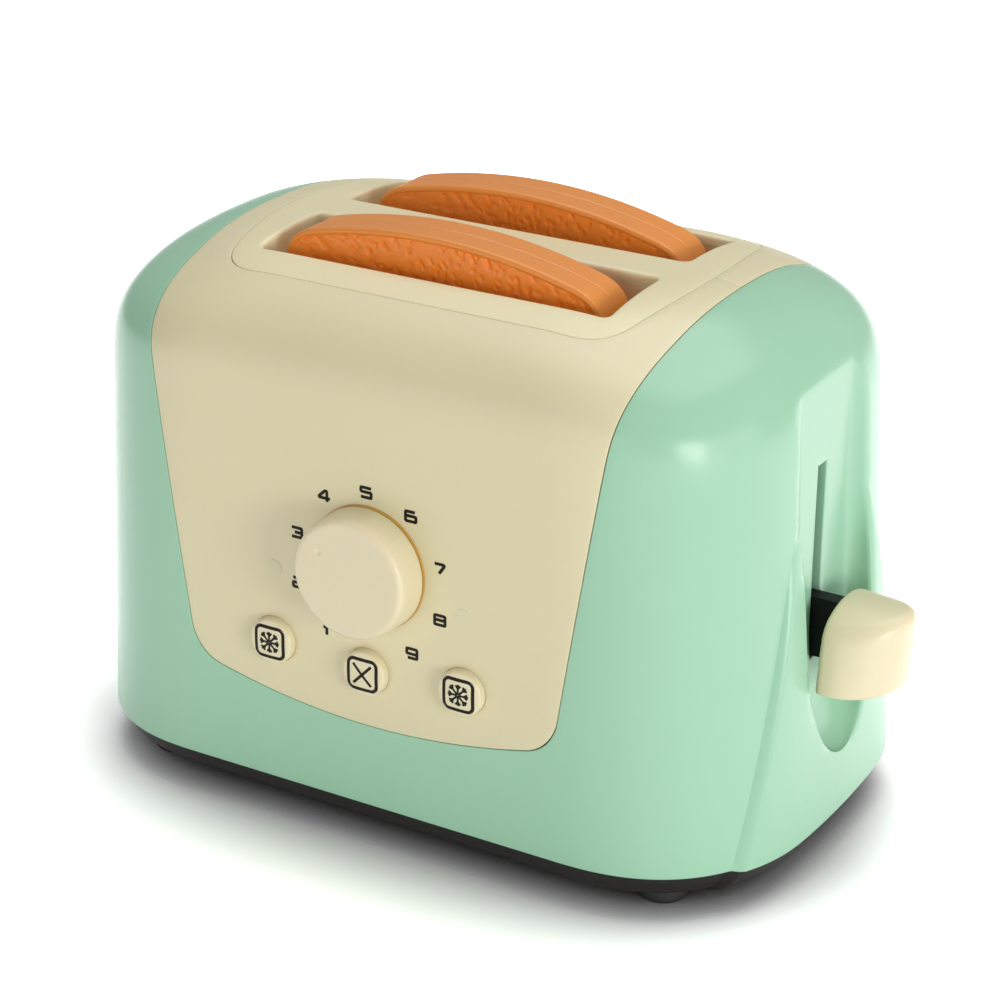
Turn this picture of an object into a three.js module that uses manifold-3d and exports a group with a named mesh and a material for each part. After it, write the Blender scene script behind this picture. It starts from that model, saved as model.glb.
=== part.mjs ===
// Toy toaster: a moulded two-slot body with a wind-up timer knob, three push buttons,
// a press-down lever and two slices that lift out.
// Millimetres, +Z up, front towards -Y, lever end at +X. Everything is built about the body's
// own middle with the ground at Z = 0; the last lines move the middle of the whole to the origin.
import * as THREE from "three";
import { mergeVertices } from "three/addons/utils/BufferGeometryUtils.js";
import Module from "manifold-3d";

const wasm = await Module();
wasm.setup();

// Body, measured at its lower edge
const leverEndX = 88.5;
const plainEndX = 89.4;
const bodyDepth = 110.8;
const bodyHeight = 118;
const edgeHeight = 10.5;
const leverEndLean = 6.3;
const plainEndLean = 5;
const frontLean = 0.7;
const cornerRadius = 38.9;
const endBow = 5.2;
const endShoulderDrop = 29;
const endShoulderReach = 33.9;
const frontShoulderDrop = 22.1;
const frontShoulderReach = 43.7;
const wall = 2.2;
const cornerPower = 2.56;
const shoulderPower = 2.29;

// Clearances and cutting
const seam = 0.3;
const overrun = 2;
const weldDepth = 0.6;

// Raised apron on the lever end
const apronStep = 2.1;
const apronHeight = 66.6;
const apronFoot = 37.3;
const apronCrown = 19.2;
const apronRun = 1.3;

// Finger scoop and lever slot in the right end
const scoopDepth = 7.5;
const scoopHalfWidth = 17;
const scoopToeDrop = 18.9;
const scoopBendRise = 12.4;
const scoopCorner = 4;
const leverSlotWidth = 5;
const leverSlotPlay = 1;

// Cream window: its outline runs from front to back over the top
const windowHalfFoot = 46.8;
const windowHalfCrown = 60.6;
const windowFootMargin = 8.9;
const windowSag = 6.6;
const windowCorner = 6;
const ledgeWidth = 4;
const ledgeThickness = 1.6;

// Slot bezel
const bezelMargin = 7.1;
const bezelHalfLength = windowHalfCrown - bezelMargin;
const bezelHalfDepth = 38.7;
const bezelBow = 5.6;
const bezelCorner = 5.5;
const bezelLedge = 1.5;
const slotMargin = 9.7;
const slotHalfLength = bezelHalfLength - slotMargin;
const slotInner = 6.3;
const slotOuter = 29.9;
const slotCorner = 1.6;
const chuteWall = 1.4;
const chuteDepth = 31;

// Base plate and feet
const footHeight = 3.6;
const footRadius = 5.6;
const footX = 65.5;
const footY = 38.5;
const footPegRadius = 2;
const footPegLength = 1.6;
const baseFloor = 2.2;
const baseInset = 6.5;
const baseRimInset = 1.4;
const baseRimHeight = 5.5;
const baseRimWall = 2;
const ventLength = 34;
const ventWidth = 2.6;
const ventCorner = 1.1;
const ventPitch = 7;
const ventCount = 5;

// Screws
const columnX = 76;
const columnY = 31;
const columnRadius = 3.8;
const columnHeight = 30;
const columnWeb = 2;
const baseScrewRadius = 1.5;
const baseScrewHead = 3;
const baseScrewHeadHeight = 1.8;
const baseScrewLength = 16;
const smallScrewRadius = 1.1;
const smallScrewHead = 2.4;
const smallScrewHeadHeight = 1.4;
const smallScrewLength = 4.6;
const bossRadius = 3;

// Timer knob and its arbor
const knobX = 0.4;
const knobHeight = 58.6;
const knobRadius = 14.2;
const knobFaceRadius = 13.8;
const knobLength = 8.1;
const knobEdge = 1.6;
const knobWall = 1.9;
const knobGap = 0.5;
const knobHubRadius = 4;
const pointerRadius = 10.4;
const pointerDimple = 1.1;
const pointerDepth = 0.35;
const pointerAngle = -50;
const arborRadius = 2;
const camRadius = 5;
const camNose = 2.6;
const camThickness = 1.6;

// Timer movement
const plateGap = 12.8;
const plateThickness = 1;
const plateSetback = 2.6;
const plateLeft = 17.4;
const plateRight = 29;
const plateDown = 16;
const plateUp = 17;
const plateCorner = 3;
const pillarRadius = 1.7;
const pillarInset = 3;
const earReach = 3.6;
const earRadius = 3.6;
const gearModule = 0.9;
const mainTeeth = 32;
const pinionTeeth = 8;
const gearThickness = 1.8;
const gearPlay = 0.2;
const toothShare = 0.4;
const tipShare = 0.85;
const rootShare = 1.1;
const layerGap = 0.9;
const governorPivot = 1.1;
const governorRadius = 6.6;
const governorWave = 0.8;
const governorThickness = 1.6;
const springStripHeight = 4.6;
const springStripThickness = 0.5;
const springInnerRadius = 2.9;
const springOuterRadius = 9.2;
const springTurns = 5;
const springStepsPerTurn = 8;

// Push buttons and their carrier
const buttonSpacing = 24.5;
const buttonDrop = 23.4;
const buttonHeight = knobHeight - buttonDrop;
const middleButtonDrop = 1.6;
const middleButtonHeight = buttonHeight - middleButtonDrop;
const buttonRadius = 5;
const buttonProud = 2.4;
const buttonCrown = 0.8;
const buttonFlange = 6.2;
const buttonFlangeThickness = 1.2;
const buttonStem = 1.6;
const buttonTravel = 1.6;
const buttonPlay = 0.35;
const carrierSetback = 6.3;
const carrierThickness = 1.5;
const carrierHalfLength = 33;
const carrierHalfHeight = 6.2;
const carrierCorner = 2;
const stemOverhang = 0.8;
const buttonSpringRadius = 3;
const buttonSpringWire = 0.2;
const buttonSpringTurns = 2;

// Carriage, lever and guide posts: the tray stands over the latch's pivot, the arm under the tray
const leverTravel = 30;
const latchPivotRise = 3.3;
const latchPivotHeight = buttonHeight + latchPivotRise;
const trayRise = 5.4;
const trayFloor = latchPivotHeight + trayRise;
const armDrop = 8;
const armHeight = 14.2;
const armFoot = trayFloor - armDrop;
const armHalfThickness = 1.9;
const armSocketDepth = 5.8;
const postMargin = 4.8;
const postX = slotHalfLength + postMargin;
const postRadius = 2;
const postSocket = 5;
const postBossRadius = 3.2;
const hubRadius = 3.4;
const hubHeight = 14;
const springSeatRadius = 5.2;
const springSeatHeight = 1.6;
const trayMargin = 1.8;
const trayHalfLength = slotHalfLength - trayMargin;
const trayHalfDepth = 27.6;
const trayThickness = 2.2;
const trayTilt = 1.7;
const trayRailHeight = 4;
const trayRailThickness = 1.1;
const trayWindowHalf = 6.6;
const spineHalfWidth = 2.2;
const liftSpringRadius = 4.3;
const liftSpringWire = 0.6;
const liftSpringTurns = 7;

// Lever knob
const leverKnobGap = 6.8;
const leverKnobFootHalf = 14;
const leverKnobCrownHalf = 11;
const leverKnobDrop = 2.8;
const leverKnobFoot = armFoot - leverKnobDrop;
const leverKnobHeight = 18.5;
const leverKnobArch = 4.1;
const leverKnobStraight = 3;
const leverKnobReach = 15.2;
const leverKnobFlare = 1.4;
const leverKnobFall = 3.4;

// Latch that holds the carriage down: a rocker between two ears of the button carrier
const latchPivotY = 33.6;
const latchPinRadius = 1.2;
const latchPinLength = 8.4;
const latchHalfThickness = 1.5;
const latchEyeRadius = 2.4;
const latchArmHeight = 8.2;
const latchHeadHeight = 10.6;
const latchFront = 1.9;
const latchNeck = 0.4;
const latchToothReach = 2.3;
const latchToothDepth = 1.2;
const latchTailReach = 7.8;
const latchTailDrop = 6.9;
const latchTailThickness = 1.7;
const latchEarThickness = 1.8;
const latchEarRadius = 2.2;
const lugHalfWidth = 4;
const lugReach = 3.4;
const lugRise = 1.6;

// Slices of toast
const toastPlay = 3.4;
const toastHalfWidth = slotHalfLength - toastPlay;
const toastNip = 3;
const toastWaist = toastHalfWidth - toastNip;
const toastHeight = 80;
const toastDome = 6.3;
const toastShoulder = 7.2;
const toastWaistHeight = 46;
const toastThickness = 13;
const toastBevel = 1.5;
const toastCorner = 7;
const toastY = 18.7;
const toastShift = 2.2;
const crustWidth = 4;
const crustDepth = 0.9;

// Derived places
const bodyTop = edgeHeight + bodyHeight;
const scoopFloorX = leverEndX - scoopDepth;
const windowFootHeight = buttonHeight - windowFootMargin;
const scoopFloorHeight = leverKnobFoot - scoopToeDrop;
const scoopBendHeight = leverKnobFoot + scoopBendRise;
const frontFace = bodyDepth / 2;
const farOut = leverEndX + plainEndX;
const knobZ = edgeHeight + knobHeight;
const armZ = edgeHeight + armFoot;
const trayZ = edgeHeight + trayFloor;
const hubZ = armZ;
const baseFloorTop = footHeight + baseFloor;
const baseRimTop = edgeHeight + baseRimHeight;
const chuteBottom = bodyTop - chuteDepth;
const panelBack = frontFace - wall;
const plateFront = -(panelBack - plateSetback);
const plateBack = plateFront + plateThickness + plateGap;
const carrierFront = -(panelBack - carrierSetback);
const latchZ = edgeHeight + latchPivotHeight;

const leverEnd = { x: leverEndX, lean: leverEndLean, step: apronStep, shares: [0, 0.5, 1] };
const plainEnd = { x: plainEndX, lean: plainEndLean, step: 0, shares: [0] };

const colours = {
  mint: { color: "#9ed9b8", roughness: 0.28, metalness: 0 },
  cream: { color: "#e6ddb0", roughness: 0.36, metalness: 0 },
  knobCream: { color: "#eee3be", roughness: 0.34, metalness: 0 },
  black: { color: "#1d1b1a", roughness: 0.45, metalness: 0 },
  rubber: { color: "#171615", roughness: 0.8, metalness: 0 },
  toast: { color: "#d9762e", roughness: 0.55, metalness: 0 },
  steel: { color: "#b9bcc0", roughness: 0.3, metalness: 1 },
  brass: { color: "#c9a250", roughness: 0.35, metalness: 1 },
  white: { color: "#e9e7e0", roughness: 0.5, metalness: 0 },
};
const materials = Object.fromEntries(
  Object.entries(colours).map(([name, look]) => [name, new THREE.MeshStandardMaterial(look)]),
);

const toaster = new THREE.Group();
toaster.name = "toy_toaster";

// Closed solids from geometry, and back

function solid(geometry) {
  const bare = geometry.clone();
  bare.deleteAttribute("normal");
  bare.deleteAttribute("uv");
  const merged = mergeVertices(bare);
  return new wasm.Manifold(new wasm.Mesh({
    numProp: 3,
    vertProperties: new Float32Array(merged.attributes.position.array),
    triVerts: new Uint32Array(merged.index.array),
  }));
}

function geometryOf(body) {
  const mesh = body.getMesh();
  const geometry = new THREE.BufferGeometry();
  const positions = new Float32Array((mesh.vertProperties.length / mesh.numProp) * 3);
  for (let i = 0; i < positions.length / 3; i += 1) {
    for (let k = 0; k < 3; k += 1) positions[3 * i + k] = mesh.vertProperties[mesh.numProp * i + k];
  }
  geometry.setAttribute("position", new THREE.BufferAttribute(positions, 3));
  geometry.setIndex([...mesh.triVerts]);
  geometry.computeVertexNormals();
  return geometry;
}

function addPiece(name, shape, material, place = [0, 0, 0]) {
  const geometry = shape.isBufferGeometry ? shape : geometryOf(shape);
  const mesh = new THREE.Mesh(geometry, materials[material]);
  mesh.name = name;
  mesh.position.set(...place);
  toaster.add(mesh);
  return mesh;
}

const union = (...bodies) => bodies.reduce((whole, next) => whole.add(next));
const cut = (whole, ...tools) => tools.reduce((rest, tool) => rest.subtract(tool), whole);

// Extrusions: upright, front facing (outline in X and Z) and end facing (outline in Y and Z)

function upright(shape, bottom, top, curveSegments = 8) {
  const options = { depth: top - bottom, bevelEnabled: false, curveSegments };
  return new THREE.ExtrudeGeometry(shape, options).translate(0, 0, bottom);
}

function frontFacing(shape, yLow, yHigh, curveSegments = 8) {
  const options = { depth: yHigh - yLow, bevelEnabled: false, curveSegments };
  return new THREE.ExtrudeGeometry(shape, options).rotateX(Math.PI / 2).translate(0, yHigh, 0);
}

function endFacing(shape, xLow, xHigh, curveSegments = 8) {
  const options = { depth: xHigh - xLow, bevelEnabled: false, curveSegments };
  const turn = new THREE.Matrix4().makeBasis(
    new THREE.Vector3(0, 1, 0),
    new THREE.Vector3(0, 0, 1),
    new THREE.Vector3(1, 0, 0),
  );
  return new THREE.ExtrudeGeometry(shape, options).applyMatrix4(turn).translate(xLow, 0, 0);
}

function block(xLow, xHigh, yLow, yHigh, zLow, zHigh) {
  const box = new THREE.BoxGeometry(xHigh - xLow, yHigh - yLow, zHigh - zLow);
  return box.translate((xLow + xHigh) / 2, (yLow + yHigh) / 2, (zLow + zHigh) / 2);
}

function rodZ(radius, x, y, zLow, zHigh, sides = 10) {
  const rod = new THREE.CylinderGeometry(radius, radius, zHigh - zLow, sides);
  return rod.rotateX(Math.PI / 2).translate(x, y, (zLow + zHigh) / 2);
}

function rodY(radius, x, z, yLow, yHigh, sides = 10) {
  const rod = new THREE.CylinderGeometry(radius, radius, yHigh - yLow, sides);
  return rod.translate(x, (yLow + yHigh) / 2, z);
}

function rodX(radius, y, z, xLow, xHigh, sides = 10) {
  const rod = new THREE.CylinderGeometry(radius, radius, xHigh - xLow, sides);
  return rod.rotateZ(Math.PI / 2).translate((xLow + xHigh) / 2, y, z);
}

function roundedRectangle(xLow, xHigh, yLow, yHigh, radius) {
  const shape = new THREE.Shape();
  shape.moveTo(xLow + radius, yLow);
  shape.lineTo(xHigh - radius, yLow);
  shape.absarc(xHigh - radius, yLow + radius, radius, -Math.PI / 2, 0);
  shape.lineTo(xHigh, yHigh - radius);
  shape.absarc(xHigh - radius, yHigh - radius, radius, 0, Math.PI / 2);
  shape.lineTo(xLow + radius, yHigh);
  shape.absarc(xLow + radius, yHigh - radius, radius, Math.PI / 2, Math.PI);
  shape.lineTo(xLow, yLow + radius);
  shape.absarc(xLow + radius, yLow + radius, radius, Math.PI, 1.5 * Math.PI);
  return shape;
}

// A revolve about a line along Y: profile points are [radius, distance from the front, towards +Y]
function turnedY(profile, segments = 32) {
  const points = profile.map(([radius, along]) => new THREE.Vector2(radius, along));
  return new THREE.LatheGeometry(points, segments);
}

function turnedZ(profile, segments = 24) {
  const points = profile.map(([radius, along]) => new THREE.Vector2(radius, along));
  return new THREE.LatheGeometry(points, segments).rotateX(Math.PI / 2);
}

// Joins rings of equal length, lowest first and anticlockwise seen from above, and caps both ends
function loft(rings) {
  const count = rings[0].length;
  const positions = rings.flat(2);
  const index = [];
  for (let i = 0; i < rings.length - 1; i += 1) {
    for (let j = 0; j < count; j += 1) {
      const next = (j + 1) % count;
      const [a, b] = [i * count + j, i * count + next];
      index.push(a, b, b + count, a, b + count, a + count);
    }
  }
  for (const [ring, flip] of [[0, true], [rings.length - 1, false]]) {
    const middle = [0, 1, 2].map((k) => rings[ring].reduce((sum, p) => sum + p[k], 0) / count);
    const centre = positions.length / 3;
    positions.push(...middle);
    for (let j = 0; j < count; j += 1) {
      const [a, b] = [ring * count + j, ring * count + ((j + 1) % count)];
      index.push(...(flip ? [b, a, centre] : [a, b, centre]));
    }
  }
  const geometry = new THREE.BufferGeometry();
  geometry.setAttribute("position", new THREE.Float32BufferAttribute(positions, 3));
  geometry.setIndex(index);
  return geometry;
}

// Body form: a rounded rectangle at each height, drawn in by the lean and by elliptic shoulders

function shoulderInset(height, drop, reach) {
  const climb = Math.min(Math.max((height - bodyHeight + drop) / drop, 0), 1);
  return reach * (1 - (1 - climb ** shoulderPower) ** (1 / shoulderPower));
}

function halfLengthAt(height, end) {
  const lean = (end.lean * height) / bodyHeight;
  return end.x - lean - shoulderInset(height, endShoulderDrop, endShoulderReach);
}

function halfDepthAt(height) {
  const lean = (frontLean * height) / bodyHeight;
  return bodyDepth / 2 - lean - shoulderInset(height, frontShoulderDrop, frontShoulderReach);
}

// Step and half width of the apron at a height
function apronAt(height, end) {
  const climb = Math.min(height / apronHeight, 1);
  return {
    step: end.step * (1 - climb ** 2),
    crease: end.step > 0 ? apronFoot + (apronCrown - apronFoot) * climb : 0,
    shares: end.shares,
  };
}

// One quarter of the plan outline, from the middle of an end to the middle of the front
function quarterOutline(halfLength, halfDepth, radius, apron, cornerSteps) {
  const r = Math.min(radius, halfLength * fullShare, halfDepth * fullShare);
  const flat = halfDepth - r;
  const endX = (y) => {
    if (y <= flat) return halfLength;
    return halfLength - r + r * (1 - Math.min((y - flat) / r, 1) ** cornerPower) ** (1 / cornerPower);
  };
  const crease = Math.min(apron.crease, halfDepth * creaseShare);
  const points = apron.shares.map((share) => [endX(share * crease) + apron.step, share * crease]);
  const foot = Math.min(Math.max(crease + apronRun, flat), halfDepth * footShare);
  const start = Math.asin((Math.max(foot - flat, 0) / r) ** (cornerPower / 2));
  for (let k = 0; k <= cornerSteps; k += 1) {
    const angle = start + ((Math.PI / 2 - start) * k) / cornerSteps;
    const x = halfLength - r + r * Math.abs(Math.cos(angle)) ** (2 / cornerPower);
    points.push([x, k === 0 ? foot : flat + r * Math.sin(angle) ** (2 / cornerPower)]);
  }
  return points.map(([x, y]) => [x * (1 - (endBow / halfLength) * (y / halfDepth) ** 2), y]);
}

const fullShare = 0.95;
const creaseShare = 0.7;
const footShare = 0.8;
const fine = { corner: 6, shoulder: 6, straight: 3 };
const coarse = { corner: 3, shoulder: 4, straight: 2 };

// Heights of the rings: even up to the shoulder, then closer together as it turns inwards
function bodyLevels(steps) {
  const levels = [];
  for (let k = 0; k <= steps.straight; k += 1) {
    levels.push(((bodyHeight - endShoulderDrop) * k) / steps.straight);
  }
  for (let k = 1; k <= steps.shoulder; k += 1) {
    const climb = Math.sin((Math.PI / 2) * (k / steps.shoulder)) ** (2 / shoulderPower);
    levels.push(bodyHeight - endShoulderDrop + endShoulderDrop * climb);
  }
  return levels;
}

// Plan of the body at a height above its lower edge, moved inwards by inset and put at level z
function bodyPlan(height, inset, z, steps) {
  const halfDepth = halfDepthAt(height) - inset;
  const radius = cornerRadius - inset;
  const [right, left] = [leverEnd, plainEnd].map((end) =>
    quarterOutline(halfLengthAt(height, end) - inset, halfDepth, radius, apronAt(height, end), steps.corner));
  const outline = [
    ...right,
    ...[...left].reverse().map(([x, y]) => [-x, y]),
    ...left.slice(1).map(([x, y]) => [-x, -y]),
    ...right.slice(1).reverse().map(([x, y]) => [x, -y]),
  ];
  return outline.map(([x, y]) => [x, y, z]);
}

// The body's form moved inwards by inset; below the lower edge it runs straight down by drop
function bodyForm(inset, steps, drop = 0) {
  const squeeze = (bodyHeight - inset) / bodyHeight;
  const rings = bodyLevels(steps).map((height) =>
    bodyPlan(height, inset, edgeHeight + height * squeeze, steps));
  if (drop > 0) rings.unshift(rings[0].map(([x, y, z]) => [x, y, z - drop]));
  return solid(loft(rings));
}

const outerForm = bodyForm(0, fine);
const innerForm = bodyForm(wall, coarse, overrun);
const weldForm = bodyForm(wall - weldDepth, coarse, overrun);
const ledgeTopForm = bodyForm(wall + seam, coarse, overrun);
const ledgeUnderForm = bodyForm(wall + seam + ledgeThickness, coarse, overrun);
const skinLayer = outerForm.subtract(innerForm);
const seatLayer = ledgeTopForm.subtract(ledgeUnderForm);
const weldLayer = weldForm.subtract(ledgeUnderForm);

// How far the drawn points of a corner sit from it, as shares of its size
const easeShare = 1 / 4;
const bendShare = 1 / 6;

// Outline of the cream window in X and Z, grown outwards by grow
function windowPrism(grow) {
  const foot = edgeHeight + windowFootHeight - grow;
  const top = bodyTop + overrun;
  const spread = (windowHalfCrown - windowHalfFoot) / (bodyHeight - windowFootHeight);
  const halfFoot = windowHalfFoot + grow;
  const halfTop = halfFoot + spread * (top - foot);
  const corner = windowCorner;
  const ease = corner * easeShare;
  const shape = new THREE.Shape();
  shape.moveTo(-halfFoot + corner, foot - ease);
  shape.quadraticCurveTo(0, foot - 2 * windowSag + ease, halfFoot - corner, foot - ease);
  shape.quadraticCurveTo(halfFoot - corner * bendShare, foot, halfFoot + spread * corner, foot + corner);
  shape.lineTo(halfTop, top);
  shape.lineTo(-halfTop, top);
  shape.lineTo(-halfFoot - spread * corner, foot + corner);
  shape.quadraticCurveTo(-halfFoot + corner * bendShare, foot, -halfFoot + corner, foot - ease);
  return solid(frontFacing(shape, -bodyDepth, bodyDepth, 4));
}

// Outline of the bezel in plan, with bowed ends, grown outwards by grow
function bezelPrism(grow) {
  const halfLength = bezelHalfLength + grow;
  const halfDepth = bezelHalfDepth + grow;
  const end = halfLength - bezelBow;
  const corner = bezelCorner;
  const ease = corner * easeShare;
  const shape = new THREE.Shape();
  shape.moveTo(-end + corner, -halfDepth);
  shape.lineTo(end - corner, -halfDepth);
  shape.quadraticCurveTo(end, -halfDepth, end + ease, -halfDepth + corner);
  shape.quadraticCurveTo(2 * halfLength - end - ease, 0, end + ease, halfDepth - corner);
  shape.quadraticCurveTo(end, halfDepth, end - corner, halfDepth);
  shape.lineTo(-end + corner, halfDepth);
  shape.quadraticCurveTo(-end, halfDepth, -end - ease, halfDepth - corner);
  shape.quadraticCurveTo(-2 * halfLength + end + ease, 0, -end - ease, -halfDepth + corner);
  shape.quadraticCurveTo(-end, -halfDepth, -end + corner, -halfDepth);
  return solid(upright(shape, edgeHeight + bodyHeight / 2, bodyTop + overrun, 4));
}

// Finger scoop: a channel down the right end whose rounded foot swings out to the surface
function scoopForm(grow) {
  const section = (floor, half, z) => {
    const corner = Math.min(scoopCorner, half / 2);
    const outer = leverEndX + scoopDepth;
    const side = [
      [outer, half],
      [floor + corner, half],
      [floor + corner * easeShare, half - corner * easeShare],
      [floor, half - corner],
    ];
    const ring = [...side, ...[...side].reverse().map(([x, y]) => [x, -y])];
    return ring.map(([x, y]) => [x, y, z]);
  };
  const rings = [];
  const steps = 6;
  for (let k = 1; k <= steps; k += 1) {
    const angle = ((Math.PI / 2) * k) / steps;
    const rise = (scoopBendHeight - scoopFloorHeight + grow) * (1 - Math.cos(angle));
    const floor = scoopFloorX - grow + scoopDepth * (1 - Math.sin(angle));
    const z = edgeHeight + scoopFloorHeight - grow + rise;
    rings.push(section(floor, (scoopHalfWidth + grow) * Math.sin(angle), z));
  }
  rings.push(section(scoopFloorX - grow, scoopHalfWidth + grow, bodyTop + overrun));
  return solid(loft(rings));
}

const topBand = solid(block(-farOut, farOut, -farOut, farOut, footHeight, bodyTop + overrun));
const frontHalf = solid(block(-farOut, farOut, -farOut, -seam / 2, 0, bodyTop + overrun));
const backHalf = solid(block(-farOut, farOut, seam / 2, farOut, 0, bodyTop + overrun));
const windowOpening = windowPrism(seam);

// A screw column with its web to the end wall, hollow for the screw
function screwColumn(sideX, sideY) {
  const x = sideX * columnX;
  const y = sideY * columnY;
  const foot = baseRimTop + seam;
  const reach = sideX * farOut;
  const web = block(Math.min(x, reach), Math.max(x, reach), y - columnWeb / 2, y + columnWeb / 2,
    foot, foot + columnHeight);
  const post = union(solid(rodZ(columnRadius, x, y, foot, foot + columnHeight)), solid(web));
  const bore = rodZ(baseScrewRadius + seam, x, y, foot - overrun, foot + baseScrewLength);
  return { post: post.intersect(weldForm), bore: solid(bore) };
}

function bodyShell() {
  const cavity = innerForm.subtract(scoopForm(wall));
  const slot = block(scoopFloorX - scoopDepth, leverEndX + scoopDepth,
    -leverSlotWidth / 2, leverSlotWidth / 2,
    armZ - leverSlotPlay, armZ + armHeight + leverTravel + leverSlotPlay);
  const ledgeBand = windowPrism(ledgeWidth).subtract(windowPrism(-ledgeWidth));
  const rootBand = windowPrism(ledgeWidth).subtract(windowOpening);
  const ledge = union(seatLayer.intersect(ledgeBand), weldLayer.intersect(rootBand)).intersect(topBand);
  let shell = cut(outerForm, cavity, scoopForm(0), windowOpening);
  shell = shell.add(ledge.subtract(solid(block(-farOut, farOut, -farOut, farOut, 0, edgeHeight))));
  for (const sideX of [-1, 1]) {
    for (const sideY of [-1, 1]) {
      const column = screwColumn(sideX, sideY);
      shell = shell.add(column.post).subtract(column.bore);
    }
  }
  return shell.subtract(solid(slot));
}

// Cream panels: the skin inside the window, parted at the middle of the top, with a ledge
// that carries the bezel
function creamPanel(half) {
  const opening = bezelPrism(seam);
  const skin = skinLayer.intersect(windowPrism(0)).subtract(opening);
  const ledgeBand = bezelPrism(bezelLedge).subtract(bezelPrism(-bezelLedge));
  const rootBand = bezelPrism(bezelLedge).subtract(opening);
  const ledge = union(seatLayer.intersect(ledgeBand), weldLayer.intersect(rootBand));
  return union(skin, ledge).intersect(half);
}

const buttonPlaces = [
  { name: "defrost_button_left", x: -buttonSpacing, z: edgeHeight + buttonHeight },
  { name: "cancel_button", x: 0, z: edgeHeight + middleButtonHeight },
  { name: "defrost_button_right", x: buttonSpacing, z: edgeHeight + buttonHeight },
];
const carrierZ = edgeHeight + (buttonHeight + middleButtonHeight) / 2;
const carrierScrews = [-1, 1].map((side) => [side * (buttonSpacing / 2), carrierZ]);
const timerScrews = [
  [knobX - plateLeft - earReach, knobZ],
  [knobX + plateRight + earReach, knobZ],
];

function faceAt(z) {
  return -halfDepthAt(z - edgeHeight);
}

function panelBoss(x, z, reach) {
  const boss = solid(rodY(bossRadius, x, z, -frontFace, reach - seam)).intersect(weldForm);
  return boss.subtract(solid(rodY(smallScrewRadius + seam, x, z, reach - smallScrewLength, reach)));
}

function frontPanel() {
  let panel = creamPanel(frontHalf);
  for (const [x, z] of timerScrews) panel = panel.add(panelBoss(x, z, plateFront));
  for (const [x, z] of carrierScrews) panel = panel.add(panelBoss(x, z, carrierFront));
  const holes = buttonPlaces.map(({ x, z }) => rodY(buttonRadius + buttonPlay, x, z, -bodyDepth, 0, 16));
  holes.push(rodY(arborRadius + seam, knobX, knobZ, -bodyDepth, 0));
  return cut(panel, ...holes.map(solid));
}

// Bezel: the skin inside its outline, two open chutes and the sockets for the guide posts
function slotBezel() {
  const chutes = [];
  const slots = [];
  for (const side of [-1, 1]) {
    const [low, high] = side < 0 ? [-slotOuter, -slotInner] : [slotInner, slotOuter];
    const outer = roundedRectangle(-slotHalfLength - chuteWall, slotHalfLength + chuteWall,
      low - chuteWall, high + chuteWall, slotCorner + chuteWall);
    const inner = roundedRectangle(-slotHalfLength, slotHalfLength, low, high, slotCorner);
    chutes.push(solid(upright(outer, chuteBottom, bodyTop, 3)).intersect(weldForm));
    slots.push(solid(upright(inner, chuteBottom - overrun, bodyTop + overrun, 3)));
  }
  let bezel = skinLayer.intersect(bezelPrism(0));
  bezel = union(bezel, ...chutes);
  for (const side of [-1, 1]) {
    const socketFoot = bodyTop - wall - postSocket - overrun;
    const boss = solid(rodZ(postBossRadius, side * postX, 0, socketFoot, bodyTop)).intersect(weldForm);
    const hole = solid(rodZ(postRadius + seam, side * postX, 0,
      socketFoot - overrun, socketFoot + postSocket));
    bezel = bezel.add(boss).subtract(hole);
  }
  return cut(bezel, ...slots);
}

// Base: a tapered tray that plugs into the shell, with screw, post and latch mountings
function basePlan(inset, z) {
  return bodyPlan(Math.max(z - edgeHeight, 0), inset, z, coarse);
}

// The base's rounded heel and flank between its bottom and its shoulder
const heelInsetShare = 0.75;
const heelShare = 0.3;
const flankShare = 0.4;

function basePlate() {
  const rim = wall + seam;
  const shoulder = edgeHeight - seam;
  const outer = loft([
    basePlan(baseInset, footHeight),
    basePlan(baseInset * heelInsetShare, footHeight + baseFloor * heelShare),
    basePlan((baseInset + baseRimInset) * flankShare, (footHeight + shoulder) / 2),
    basePlan(baseRimInset, shoulder),
  ]);
  const plugBand = solid(block(-farOut, farOut, -farOut, farOut, baseFloorTop, baseRimTop));
  const plug = ledgeTopForm.intersect(plugBand);
  const inner = loft([
    basePlan(baseInset + baseRimWall, baseFloorTop),
    basePlan(rim + baseRimWall, shoulder),
    basePlan(rim + baseRimWall, baseRimTop + overrun),
  ]);
  let base = solid(outer).add(plug).subtract(solid(inner));
  for (const sideX of [-1, 1]) {
    for (const sideY of [-1, 1]) {
      const [x, y] = [sideX * columnX, sideY * columnY];
      base = base.add(solid(rodZ(columnRadius, x, y, footHeight, baseRimTop)));
      base = cut(base,
        solid(rodZ(baseScrewRadius + seam, x, y, 0, baseRimTop + overrun)),
        solid(rodZ(baseScrewHead + seam, x, y, 0, footHeight + baseScrewHeadHeight + seam)),
        solid(rodZ(footPegRadius + seam, sideX * footX, sideY * footY, 0,
          footHeight + footPegLength + seam)));
    }
    const bossTop = baseFloorTop + postSocket + baseFloor;
    const boss = rodZ(springSeatRadius, sideX * postX, 0, footHeight, bossTop);
    const hole = rodZ(postRadius + seam, sideX * postX, 0, bossTop - postSocket, bossTop + overrun);
    base = base.add(solid(boss)).subtract(solid(hole));
  }
  for (let k = 0; k < ventCount; k += 1) {
    const x = (k - (ventCount - 1) / 2) * ventPitch;
    const vent = roundedRectangle(x - ventWidth / 2, x + ventWidth / 2, -ventLength / 2,
      ventLength / 2, ventCorner);
    base = base.subtract(solid(upright(vent, 0, baseFloorTop + overrun, 1)));
  }
  return base;
}

const treadShare = 0.86;
const headShare = 0.85;
const chamferShare = 0.3;

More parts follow.
